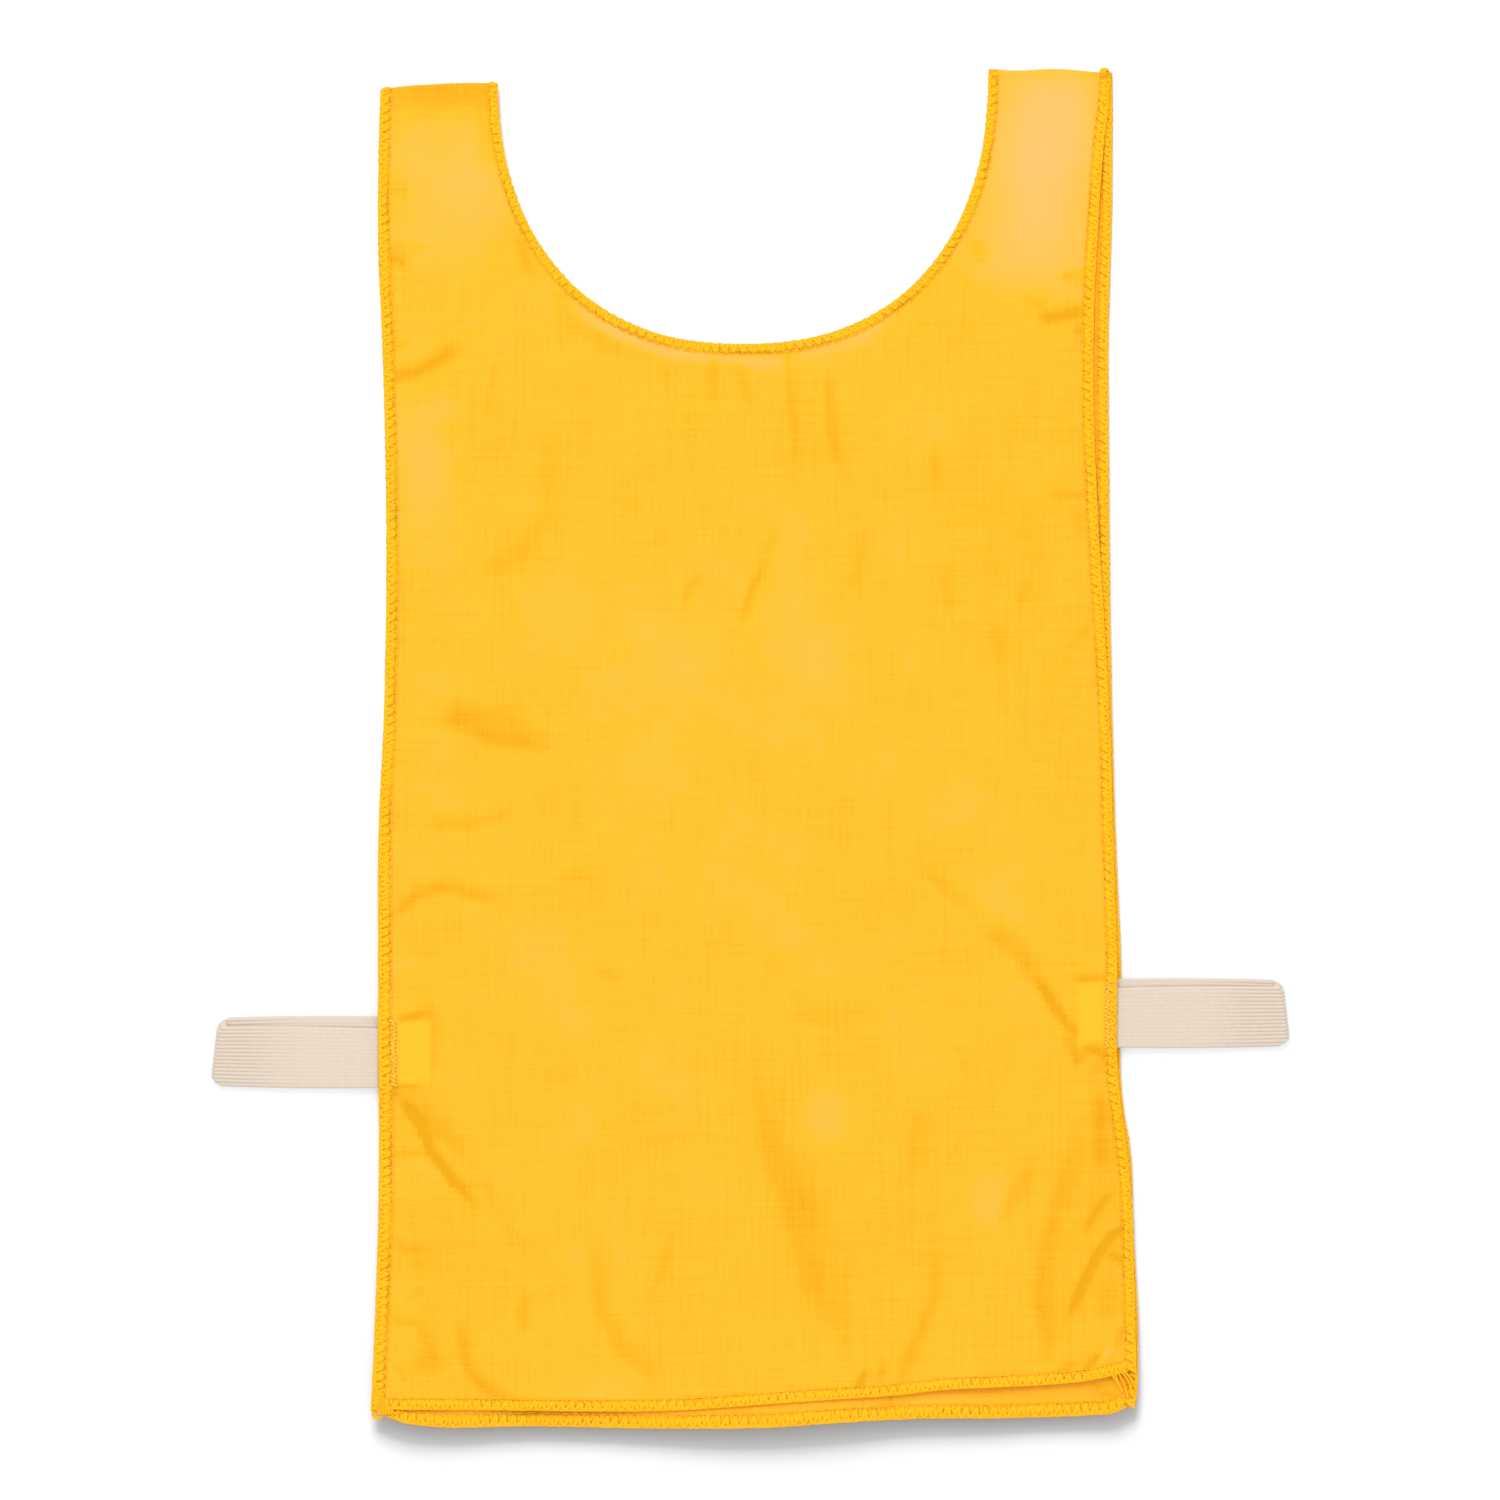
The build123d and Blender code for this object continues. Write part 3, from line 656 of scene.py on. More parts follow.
class Edge:
    """A cut edge of a panel, with the way in from it and the way up at each of its points."""

    def __init__(self, panel, seam):
        self.panel = panel
        self.share = BACK_HEM_SHARE if (panel, seam) == ("back", "hem") else SEAMS[seam]
        flat = self.flat_line(panel, seam)
        along_way = np.gradient(flat, axis=0)
        inward = np.column_stack((along_way[:, 1], -along_way[:, 0]))
        inward /= np.linalg.norm(inward, axis=1)[:, None]
        middle = np.array((NECK_MIDDLE, NECK_TOP + 40) if seam == "neck" else (0, 0))
        outward = np.sum(inward * (middle - flat), axis=1) < 0
        if seam == "neck":
            outward = ~outward
        inward[outward] *= -1
        zero = np.zeros(len(flat))
        self.points = np.column_stack((flat, cloth_height(panel, flat[:, 0], flat[:, 1])))
        self.inward = np.column_stack((inward, zero))
        self.up = np.column_stack((zero, zero, zero + 1))
        if panel == "front" and seam != "hem":
            self.over_shoulder(at_start=seam == "neck")
        self.spread = np.ones(len(self.points))
        if seam == "left_side":
            self.spread = seam_spread(self.points[:, 1])
        gaps = np.linalg.norm(np.diff(self.points, axis=0), axis=1)
        self.steps = np.concatenate(((0.0,), np.cumsum(gaps)))
        self.length = self.steps[-1]

    def flat_line(self, panel, seam):
        if seam == "neck":
            line = np.array([neck_point(panel, turn) for turn in np.linspace(0.0, math.pi, 240)])
            return line[line[:, 1] < shoulder_y(line[:, 0])]
        if seam == "hem":
            left, right = side_x(panel, "left", -270), side_x(panel, "right", -268)
            xs = np.linspace(left + 4, right - 3.4, 160)
            return np.column_stack((xs, hem_y(panel, xs)))
        name = seam.split("_")[0]
        start = hem_y(panel, SIDES[name] * 154) + 0.2
        ys = np.linspace(start, shoulder_y(SIDES[name] * 150), 260)
        return np.column_stack((side_x(panel, name, ys), ys))

    def over_shoulder(self, at_start):
        """Carries the line on round the shoulder fold at each end that meets one."""
        steps = 8
        turn = np.linspace(0, math.pi, steps + 1)[1:]
        for end in (0, -1) if at_start else (-1,):
            last = self.points[end]
            middle = (last[2] + LEVEL["back"]) / 2
            radius = last[2] - middle
            spots = np.column_stack((np.full(steps, last[0]), last[1] + radius * np.sin(turn),
                                     middle + radius * np.cos(turn)))
            ways = np.tile((math.copysign(1, self.inward[end][0]), 0.0, 0.0), (steps, 1))
            ups = np.column_stack((np.zeros(steps), np.sin(turn), np.cos(turn)))
            parts = ((self.points, spots), (self.inward, ways), (self.up, ups))
            if end == 0:
                parts = [(more[::-1], line) for line, more in parts]
            self.points, self.inward, self.up = (np.vstack(part) for part in parts)

    def at(self, distance, inset, rise):
        """Points that far along, in from the cut edge, and above the middle of the cloth."""
        distance, inset, rise = np.broadcast_arrays(distance, inset, rise)
        i = np.clip(np.searchsorted(self.steps, distance) - 1, 0, len(self.steps) - 2)
        gap = self.steps[i + 1] - self.steps[i]
        t = np.clip((distance - self.steps[i]) / gap, -0.5, 1.5)[:, None]
        place, way, up = (line[i] + (line[i + 1] - line[i]) * t
                          for line in (self.points, self.inward, self.up))
        inset = inset * (self.spread[i] + (self.spread[i + 1] - self.spread[i]) * t[:, 0])
        spots = place + way * inset[:, None]
        flat = up[:, 2] > 0.999
        spots[flat, 2] = cloth_height(self.panel, spots[flat, 0], spots[flat, 1])
        return spots + up * rise[:, None]


def seam_width(edge, sizes):
    """From the cut edge to the needle row, in millimetres."""
    return edge.share * sizes.seam_width / MM


def stitches(edge, sizes):
    """How many stitches an edge has, and the length of each."""
    count = max(2, round(edge.length / (sizes.stitch_length / MM)))
    return count, edge.length / count


def looper_line(edge, sizes, face, dice):
    """A looper yarn: in each stitch, in from the cut edge to the needle row and slanting out."""
    width = seam_width(edge, sizes)
    count, pitch = stitches(edge, sizes)
    stitch = np.arange(count)[:, None] + (0.0 if face > 0 else 0.5)
    lean = dice.uniform(-0.07, 0.07, (count, 1)) * (0, 1, 1, 1, 1, 1)
    reach = width * dice.uniform(0.92, 1.05, (count, 1)) - 0.5
    depths = np.array((0.05, 0.35, 0.8, 1, 0.8, 0.35))
    distance = (stitch + lean + 0.26 * depths + (-0.05, 0.2, 0.24, 0.38, 0.5, 0.54)) * pitch
    inset = reach * depths
    rise = 0.28 * face * np.ones((count, 1)) * (0.2, 1, 1.2, 0.9, 1.3, 1.1)
    thick = dice.uniform(0.88, 1.08, (count, 1)) * (0.75, 1.0, 1.0, 0.85, 1.05, 1.0)
    distance = np.minimum(distance.ravel(), edge.length)
    return edge.at(distance, inset.ravel(), rise.ravel()), thick.ravel()


def purl_line(edge, dice):
    """The knots of the two loopers along the cut edge, a row of small beads."""
    spacing = 1.35
    count = round(edge.length / spacing)
    number = np.arange(count + 1)
    rise = np.where(number % 2, 0.12, -0.12)
    inset = 0.42 - dice.uniform(0, 0.16, count + 1) - 0.12 * (number % 2)
    return edge.at(number * edge.length / count, inset, rise), dice.uniform(0.75, 1.15, count + 1)


def needle_line(edge, sizes, dice):
    """The needle thread's row: a short stitch on top of the cloth, then down through it."""
    count, pitch = stitches(edge, sizes)
    distance = (np.arange(count)[:, None] + (0.05, 0.25, 0.75, 0.95)) * pitch
    inset = seam_width(edge, sizes) + np.ones((count, 1)) * (0.25, 0.15, -0.1, -0.2)
    inset += dice.uniform(-0.12, 0.12, (count, 1))
    rise = np.ones((count, 1)) * (-0.1, 0.3, 0.34, -0.1)
    return edge.at(distance.ravel(), inset.ravel(), rise.ravel()), np.ones(count * 4)


def shoulder_knot(edge, sizes, dice):
    """A bulge of yarn where a seam passes over the top of a shoulder fold."""
    width = seam_width(edge, sizes)
    count = 9
    number = np.arange(count)
    top = edge.length - 1.9
    distance = top - 0.9 + 0.24 * number + dice.uniform(-0.15, 0.15, count)
    inset = np.where(number % 2, 0.35, width - 0.3) + dice.uniform(-0.2, 0.2, count)
    return edge.at(distance, inset, np.full(count, 0.75)), dice.uniform(0.9, 1.15, count)


def press(piece, panel, share):
    """Flattens yarn against the cloth that it is sewn to."""
    mesh = piece.data
    flat = np.empty(len(mesh.vertices) * 3)
    mesh.vertices.foreach_get("co", flat)
    spots = flat.reshape(-1, 3) / MM
    base = cloth_height(panel, spots[:, 0], spots[:, 1])
    above = spots[:, 2] - base
    lay = np.where(above > 0, 0.12, -0.12)
    pressed = base + lay + (above - lay) * share
    low = spots[:, 1] < shoulder_y(spots[:, 0]) - 0.2
    spots[:, 2] = np.where(low, pressed, spots[:, 2])
    mesh.vertices.foreach_set("co", (spots * MM).ravel())
    mesh.update()
    return piece


def join_meshes(pieces, name):
    """One piece from several, with the first one's material."""
    bm = bmesh.new()
    material = pieces[0].data.materials[0]
    for piece in pieces:
        bm.from_mesh(piece.data)
        mesh = piece.data
        bpy.data.objects.remove(piece)
        bpy.data.meshes.remove(mesh)
    return finish_mesh(bm, name, material)


def sew_edge(panel, seam, sizes, material, seed):
    """All the threads of one seam, as one piece."""
    edge = Edge(panel, seam)
    dice = np.random.RandomState(seed)
    name = f"{panel}_{seam}_stitching"
    thick = sizes.yarn_radius

    def thread(line, radius, rounding):
        return yarn([line], name, radius, material, rounding=rounding)

    parts = [
        thread(looper_line(edge, sizes, 1, dice), thick, 2),
        thread(looper_line(edge, sizes, -1, dice), thick, 1),
        thread(purl_line(edge, dice), thick * PURL_SHARE, 2),
    ]
    knotted = panel == "front" and seam in ("neck", "right_side")
    knot = shoulder_knot(edge, sizes, dice) if knotted else None
    parts.append(thread(needle_line(edge, sizes, dice), sizes.needle_radius, 1))
    for looper in parts[:2]:
        press(looper, panel, sizes.yarn_press)
    if knotted:
        parts.append(thread(knot, thick * KNOT_SHARE, 3))
    return join_meshes(parts, name)


# Elastic


def band_spot(side_name, layer, out, across):
    """A point on a flat run, so far out from the middle of the bib. across goes from -1 to 1."""
    root = band_root(side_name)
    share = min(max((out - root) / (BAND_TIP[side_name] - root), 0), 1)
    step = BAND_STEP[side_name] * (1 if layer == "back" else -1) * (1 - 0.35 * share)
    half = BAND_HALF + BAND_SWELL * math.sin(math.pi * share)
    start, end = BAND_HEIGHT[layer]
    height = start + (end - start) * share
    sag = 0.07 * math.sin(out / 5.3 + 2 * step) * math.sin(math.pi * share)
    if layer == "front":
        sag -= EDGE_DROOP * float(ease((abs(across) - 0.78) / 0.2)) * share
    y = BAND_MIDDLE[side_name] + step + across * half
    return Vector((SIDES[side_name] * out, y, height + sag))


def band_end(side_name, across):
    """How far out the bend of the loop starts. It slants, and its corners are round."""
    past = max(abs(across) - CORNER_FROM, 0) / (1 - CORNER_FROM)
    corner = CORNER_ROUND * past**CORNER_POWER
    return BAND_TIP[side_name] - BAND_TURN - BAND_SLANT * BAND_HALF * (across + 1) - corner


def rib(across, ribs):
    """Height of the rounded ribs across the band, 0 in a groove and 1 on top."""
    return abs(math.sin((across + 1) / 2 * ribs * math.pi)) ** 0.7


def make_band(name, sizes, material, place, cells, start, end, deep):
    """A ribbed strip of elastic.

    place(t, across) gives the middle of its thickness, in millimetres, and the way up there.
    deep(t) is how sunk its grooves are, and how deep the painted shade in them is. start and end
    are its lengths along the band, for its UVs.
    """
    ribs = sizes.ribs
    half_thick = sizes.band_thickness / MM / 2
    bm = bmesh.new()
    bmesh.ops.create_grid(bm, x_segments=cells, y_segments=ribs * 6, size=0.5, calc_uvs=True)
    grooves = bm.verts.layers.float.new("groove")
    uv = bm.loops.layers.uv.verify()
    for face in bm.faces:
        for loop in face.loops:
            t, across = loop.vert.co.x + 0.5, loop.vert.co.y * 2
            loop[uv].uv = ((start + (end - start) * t) * MM, across * BAND_HALF * MM)
    raised = bmesh.ops.extrude_face_region(bm, geom=bm.faces[:])["geom"]
    top = {item for item in raised if isinstance(item, bmesh.types.BMVert)}
    for v in bm.verts:
        t, across = v.co.x + 0.5, v.co.y * 2
        spot, up = place(t, across)
        low = 1 - rib(across, ribs)
        # Painted shade in the grooves between the ribs, kept as an attribute for the material
        v[grooves] = low * deep(t)
        round_edge = 0.35 + 0.65 * float(ease((1 - abs(across)) / 0.07))
        rise = (half_thick - GROOVE_DEPTH * deep(t) * low) * round_edge
        v.co = (spot + up * (rise if v in top else -rise)) * MM
    bmesh.ops.recalc_face_normals(bm, faces=bm.faces)
    return finish_mesh(bm, name, material)


# Materials


def new_material(name):
    """The nodes and the shader of a new material."""
    material = bpy.data.materials.new(name)
    material.use_nodes = True
    tree = material.node_tree
    tree.nodes.clear()
    output = tree.nodes.new("ShaderNodeOutputMaterial")
    shader = tree.nodes.new("ShaderNodeBsdfPrincipled")
    tree.links.new(shader.outputs["BSDF"], output.inputs["Surface"])
    return tree, shader


def add_node(tree, kind, **values):
    """A node with its settings. A name that starts with in_ sets that input."""
    node = tree.nodes.new(kind)
    for key, value in values.items():
        if key.startswith("in_"):
            node.inputs[key[3:].replace("_", " ")].default_value = value
        else:
            setattr(node, key, value)
    return node


def math_node(tree, operation, a, b=None, clamp=False):
    """The output of a maths node on sockets or numbers."""
    node = tree.nodes.new("ShaderNodeMath")
    node.operation = operation
    node.use_clamp = clamp
    for slot, value in zip(node.inputs, (a, b)):
        if value is None:
            continue
        if isinstance(value, (int, float)):
            slot.default_value = value
        else:
            tree.links.new(value, slot)
    return node.outputs[0]


def mix_colours(tree, factor, a, b):
    """The output of a node that mixes two colours, each of them a socket or three numbers."""
    node = tree.nodes.new("ShaderNodeMix")
    node.data_type = "RGBA"
    for slot, value in ((node.inputs[0], factor), (node.inputs[6], a), (node.inputs[7], b)):
        if isinstance(value, bpy.types.NodeSocket):
            tree.links.new(value, slot)
        elif isinstance(value, (int, float)):
            slot.default_value = value
        else:
            slot.default_value = (*value, 1.0)
    return node.outputs[2]


def new_group(name, setting, value, *outputs):
    """A node group that takes coordinates and one setting, with its input and output nodes."""
    group = bpy.data.node_groups.new(name, "ShaderNodeTree")
    sockets = group.interface
    sockets.new_socket("Coordinates", in_out="INPUT", socket_type="NodeSocketVector")
    sockets.new_socket(setting, in_out="INPUT", socket_type="NodeSocketFloat").default_value = value
    for output in outputs:
        sockets.new_socket(output, in_out="OUTPUT", socket_type="NodeSocketFloat")
    return group, group.nodes.new("NodeGroupInput"), group.nodes.new("NodeGroupOutput")


def uneven_threads_group():
    """Fine uneven threads in both directions, as in plain-woven cloth. Coordinates in metres."""
    group, start, end = new_group("Uneven threads", "Thread spacing", 0.0006, "Height", "Slubs")
    per_metre = math_node(group, "DIVIDE", 1.0, start.outputs["Thread spacing"])
    heights, slubs = [], []
    for stretch in ((1.0, 0.035), (0.035, 1.0)):
        squeeze = add_node(group, "ShaderNodeVectorMath", operation="MULTIPLY")
        squeeze.inputs[1].default_value = (*stretch, 0.0)
        group.links.new(start.outputs["Coordinates"], squeeze.inputs[0])
        fine = add_node(group, "ShaderNodeTexNoise", in_Detail=1.0)
        group.links.new(squeeze.outputs[0], fine.inputs["Vector"])
        group.links.new(per_metre, fine.inputs["Scale"])
        coarse = add_node(group, "ShaderNodeTexNoise", in_Detail=2.0)
        group.links.new(squeeze.outputs[0], coarse.inputs["Vector"])
        group.links.new(math_node(group, "MULTIPLY", per_metre, 0.3), coarse.inputs["Scale"])
        heights.append(fine.outputs[0])
        slubs.append(math_node(group, "POWER", coarse.outputs[0], 2.0))
    group.links.new(math_node(group, "ADD", *heights), end.inputs["Height"])
    group.links.new(math_node(group, "ADD", *slubs), end.inputs["Slubs"])
    return group


def fibre_group():
    """The fuzzy, uneven filaments of yarn. Coordinates in metres."""
    group, start, end = new_group("Yarn filaments", "Per metre", 2500.0, "Height", "Mask")
    fuzz = add_node(group, "ShaderNodeTexNoise", in_Detail=3.0, in_Roughness=0.6, in_Distortion=1.2)
    patch = add_node(group, "ShaderNodeTexNoise", in_Detail=2.0)
    group.links.new(start.outputs["Coordinates"], fuzz.inputs["Vector"])
    group.links.new(start.outputs["Coordinates"], patch.inputs["Vector"])
    group.links.new(start.outputs["Per metre"], fuzz.inputs["Scale"])
    coarser = math_node(group, "MULTIPLY", start.outputs["Per metre"], 0.24)
    group.links.new(coarser, patch.inputs["Scale"])
    group.links.new(fuzz.outputs[0], end.inputs["Height"])
    spread = add_node(group, "ShaderNodeMapRange")
    spread.inputs["From Min"].default_value = 0.42
    spread.inputs["From Max"].default_value = 0.66
    group.links.new(patch.outputs[0], spread.inputs["Value"])
    group.links.new(spread.outputs[0], end.inputs["Mask"])
    return group


def place_group(tree, group, source, **values):
    """A node group that is fed with coordinates, with its settings."""
    node = tree.nodes.new("ShaderNodeGroup")
    node.node_tree = bpy.data.node_groups[group]
    tree.links.new(source, node.inputs["Coordinates"])
    for key, value in values.items():
        node.inputs[key.replace("_", " ")].default_value = value
    return node


def add_bump(tree, shader, height, distance, strength):
    """Small relief from a height, in metres at full strength."""
    bump = add_node(tree, "ShaderNodeBump", in_Strength=strength, in_Distance=distance)
    tree.links.new(height, bump.inputs["Height"])
    tree.links.new(bump.outputs["Normal"], shader.inputs["Normal"])


def cloth_material(colours):
    tree, shader = new_material("yellow_nylon")
    uv = add_node(tree, "ShaderNodeUVMap")
    weave = place_group(tree, "Uneven threads", uv.outputs[0], Thread_spacing=0.00055)
    tone = add_node(tree, "ShaderNodeAttribute", attribute_name="tone").outputs["Fac"]
    through = add_node(tree, "ShaderNodeAttribute", attribute_name="through").outputs["Fac"]
    cloudy = add_node(tree, "ShaderNodeTexNoise", in_Scale=42.0, in_Detail=4.0, in_Roughness=0.6)
    tree.links.new(uv.outputs[0], cloudy.inputs["Vector"])
    clouds, slubs, grain = (
        math_node(tree, "MULTIPLY", math_node(tree, "SUBTRACT", value, middle), strength)
        for value, middle, strength in (
            (cloudy.outputs[0], 0.5, 0.45),
            (weave.outputs["Slubs"], 0.47, 0.72),
            (weave.outputs["Height"], 1.0, 0.7),
        ))
    # The tone attribute brings painted shade and painted highlight; clouds, slubs and grain add
    # random unevenness
    shade = math_node(tree, "ADD", tone, clouds)
    woven = math_node(tree, "ADD", shade, math_node(tree, "ADD", slubs, grain))
    deep = math_node(tree, "MULTIPLY", woven, 1.0, clamp=True)
    # Painted highlight where the tone attribute is below 0, with some random cloudiness
    pale = math_node(tree, "MULTIPLY", shade, -1.0, clamp=True)
    colour = mix_colours(tree, deep, colours.cloth, colours.cloth_shade_and_slubs)
    colour = mix_colours(tree, pale, colour, colours.cloth_highlight)
    lit = tuple(min(1.0, c * m) for c, m in zip(colours.cloth, (1.0, 1.1, 1.0)))
    colour = mix_colours(tree, math_node(tree, "MULTIPLY", through, 0.8, clamp=True), colour, lit)
    tree.links.new(colour, shader.inputs["Base Color"])
    rough = add_node(tree, "ShaderNodeMapRange")
    rough.inputs["To Min"].default_value = 0.5
    rough.inputs["To Max"].default_value = 0.72
    tree.links.new(weave.outputs["Height"], rough.inputs["Value"])
    tree.links.new(rough.outputs[0], shader.inputs["Roughness"])
    shader.inputs["Sheen Weight"].default_value = 0.03
    shader.inputs["Specular IOR Level"].default_value = 0.13
    add_bump(tree, shader, weave.outputs["Height"], 0.0001, 0.35)


def yarn_material(name, main, deep):
    tree, shader = new_material(name)
    coordinates = add_node(tree, "ShaderNodeTexCoord").outputs["Object"]
    fibres = place_group(tree, "Yarn filaments", coordinates, Per_metre=3200.0)
    shade = math_node(tree, "MULTIPLY", fibres.outputs["Mask"], 0.5, clamp=True)
    tree.links.new(mix_colours(tree, shade, main, deep), shader.inputs["Base Color"])
    shader.inputs["Roughness"].default_value = 0.75
    shader.inputs["Sheen Weight"].default_value = 0.04
    shader.inputs["Specular IOR Level"].default_value = 0.15
    add_bump(tree, shader, fibres.outputs["Height"], 0.0003, 0.7)


def elastic_material(colours):
    tree, shader = new_material("cream_elastic")
    uv = add_node(tree, "ShaderNodeUVMap").outputs[0]
    groove = add_node(tree, "ShaderNodeAttribute", attribute_name="groove").outputs["Fac"]
    fibres = place_group(tree, "Yarn filaments", uv, Per_metre=2600.0)
    knit = add_node(tree, "ShaderNodeTexWave", wave_type="BANDS", bands_direction="X")
    knit.inputs["Scale"].default_value = 340.0
    knit.inputs["Distortion"].default_value = 2.5
    knit.inputs["Detail"].default_value = 1.0
    tree.links.new(uv, knit.inputs["Vector"])
    # Painted shade in the grooves, strongest near the fold
    dark = math_node(tree, "POWER", groove, 2.2)
    dark = math_node(tree, "MULTIPLY", dark, 0.85)
    worn = math_node(tree, "MULTIPLY", fibres.outputs["Mask"], 0.12)
    both = math_node(tree, "ADD", dark, worn, clamp=True)
    colour = mix_colours(tree, both, colours.elastic, colours.elastic_shade_and_wear)
    tree.links.new(colour, shader.inputs["Base Color"])
    shader.inputs["Roughness"].default_value = 0.85
    shader.inputs["Sheen Weight"].default_value = 0.2
    shader.inputs["Specular IOR Level"].default_value = 0.2
    height = math_node(tree, "ADD", fibres.outputs["Height"], knit.outputs["Fac"])
    add_bump(tree, shader, height, 0.00007, 0.5)


def floor_material(colours):
    _, shader = new_material("studio_floor")
    shader.inputs["Base Color"].default_value = (*colours.floor, 1.0)
    shader.inputs["Roughness"].default_value = 0.9
    shader.inputs["Specular IOR Level"].default_value = 0.0


# Operators


class BIB_OT_materials(bpy.types.Operator):
    """Builds the cloth, yarn, elastic and floor materials"""

    bl_idname = "bib.materials"
    bl_label = "Materials"

    def execute(self, context):
        colours = context.scene.bib_colours
        uneven_threads_group()
        fibre_group()
        for make in (cloth_material, elastic_material, floor_material):
            make(colours)
        yarn_material("overlock_yarn", colours.thread, colours.thread_deep)
        yarn_material("bartack_thread", colours.bartack, colours.thread)
        return {"FINISHED"}


class BIB_OT_cloth(bpy.types.Operator):
    """Makes the cloth of the back and front panels, with the front running on over the shoulders"""

    bl_idname = "bib.cloth"
    bl_label = "Cloth panels"

    def execute(self, context):
        sizes = context.scene.bib_sizes
        for panel in PANELS:
            bm = panel_mesh(panel, sizes)
            if not bm.faces:
                raise RuntimeError("the cloth has no faces")
            bmesh.ops.recalc_face_normals(bm, faces=bm.faces)
            bmesh.ops.solidify(bm, geom=bm.faces[:], thickness=sizes.cloth_thickness)
            bmesh.ops.recalc_face_normals(bm, faces=bm.faces)
            piece = finish_mesh(bm, f"{panel}_cloth", bpy.data.materials["yellow_nylon"])
            if panel == "back":
                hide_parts("back_panel")
                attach(piece, "back")
            else:
                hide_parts("front_panel", "left_shoulder_fold", "right_shoulder_fold")
                bend_at_shoulder(piece)
        return {"FINISHED"}


def bend_at_shoulder(piece):
    """Bakes the placement of a piece of the front into its mesh."""
    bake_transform(piece)


class BIB_OT_stitching(bpy.types.Operator):
    """Sews the overlock stitches along every cut edge"""

    bl_idname = "bib.stitching"
    bl_label = "Overlock stitching"

    def execute(self, context):
        sizes = context.scene.bib_sizes
        material = bpy.data.materials["overlock_yarn"]
        for panel in PANELS:
            for number, seam in enumerate(SEAMS):
                piece = sew_edge(panel, seam, sizes, material, 20 + number)
                nodes = [f"{panel}_{seam}_{part}" for part in (
                    "needle_thread", "outer_looper", "inner_looper")]
                if panel == "front" and seam.endswith("side"):
                    fold = seam.split("_")[0] + "_shoulder_fold"
                    nodes += [f"{fold}_loopers", f"{fold}_needle_thread"]
                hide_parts(*nodes)
                if panel == "back":
                    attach(piece, "back")
                else:
                    bend_at_shoulder(piece)
        return {"FINISHED"}


class BIB_OT_elastic(bpy.types.Operator):
    """Makes the two folded elastic loops and their sewn ends"""

    bl_idname = "bib.elastic"
    bl_label = "Elastic loops"

    def execute(self, context):
        sizes = context.scene.bib_sizes
        material = bpy.data.materials["cream_elastic"]
        for name, side in SIDES.items():
            root = band_root(name)
            inner = band_inner(name)
            tip = BAND_TIP[name]
            upward = Vector((0, 0, 1))
            turn_share = 0.2

            def lower(t, across):
                out = inner + (band_end(name, across) - inner) * t
                return band_spot(name, "back", out, across), upward

            def upper(t, across):
                end = band_end(name, across)
                low = band_spot(name, "back", end, across)
                high = band_spot(name, "front", end, across)
                if t >= turn_share:
                    out = end + (root - end) * (t - turn_share) / (1 - turn_share)
                    return band_spot(name, "front", out, across), upward
                turn = (t / turn_share - 0.5) * math.pi
                middle, radius = (low + high) / 2, (high.z - low.z) / 2
                spot = low.lerp(high, 0.5 + 0.5 * math.sin(turn))
                spot.x = middle.x + side * 1.3 * radius * math.cos(turn)
                spot.z = middle.z + radius * math.sin(turn)
                return spot, Vector((side * math.cos(turn), 0, math.sin(turn)))

            def tail(t, across):
                out = inner + (root - 0.2 - inner) * t
                return band_spot(name, "front", out, across), upward

            # How sunk the grooves are along each run, and how deep their painted shade
            def deep_out(t):
                return 0.35 + 0.65 * ease((t - 0.55) / 0.35)

            def deep_in(t):
                return 0.35 + 0.65 * ease((0.66 - t) / 0.36)

            run = tip - inner
            back = make_band(f"{name}_elastic_lower", sizes, material, lower, 60, 0, run, deep_out)
            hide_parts(*[f"{name}_elastic_back_{part}" for part in (
                "tail", "tail_cores", "run", "run_cores")])
            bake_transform(back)
            front = make_band(f"{name}_elastic_upper", sizes, material, upper, 60, run,
                              2 * run - 20, deep_in)
            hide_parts(*[f"{name}_elastic_{part}" for part in (
                "fold", "fold_cores", "front_run", "front_run_cores")])
            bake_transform(front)
            end = make_band(f"{name}_elastic_front_end", sizes, material, tail, 12, 2 * run,
                            2 * run - 20, lambda t: 0.45)
            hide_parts(f"{name}_elastic_front_tail", f"{name}_elastic_front_tail_cores")
            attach(end, "front")
        return {"FINISHED"}


class BIB_OT_bartacks(bpy.types.Operator):
    """Sews the dense rows that hold the ends of the elastic"""

    bl_idname = "bib.bartacks"
    bl_label = "Bartacks"

    def execute(self, context):
        sizes = context.scene.bib_sizes
        material = bpy.data.materials["bartack_thread"]
        for panel in PANELS:
            for name, side in SIDES.items():
                dice = np.random.RandomState(31 + side)
                face = 1 if panel == "front" else -1
                number = np.arange(BARTACK_STITCHES)
                lines = []
                for row in range(BARTACK_ROWS):
                    y = BAND_MIDDLE[name] + 13.2 - number * 0.82
                    x = abs(side_x(panel, name, y)) - BARTACK_IN[name] - row * 0.6
                    x = x - np.where(number % 2, 2.6, 0.0)
                    x = side * (x + dice.uniform(-0.4, 0.4, BARTACK_STITCHES))
                    z = cloth_height(panel, x, y) + face * (0.45 + 0.25 * row)
                    y = y + dice.uniform(-0.2, 0.2, BARTACK_STITCHES)
                    thick = dice.uniform(0.8, 1.2, BARTACK_STITCHES)
                    lines.append((np.column_stack((x, y, z)), thick))
                piece = yarn(lines, f"{panel}_{name}_bartack_stitches",
                             sizes.needle_radius * BARTACK_SHARE, material)
                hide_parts(f"{panel}_{name}_bartack")
                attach(piece, panel)
        return {"FINISHED"}


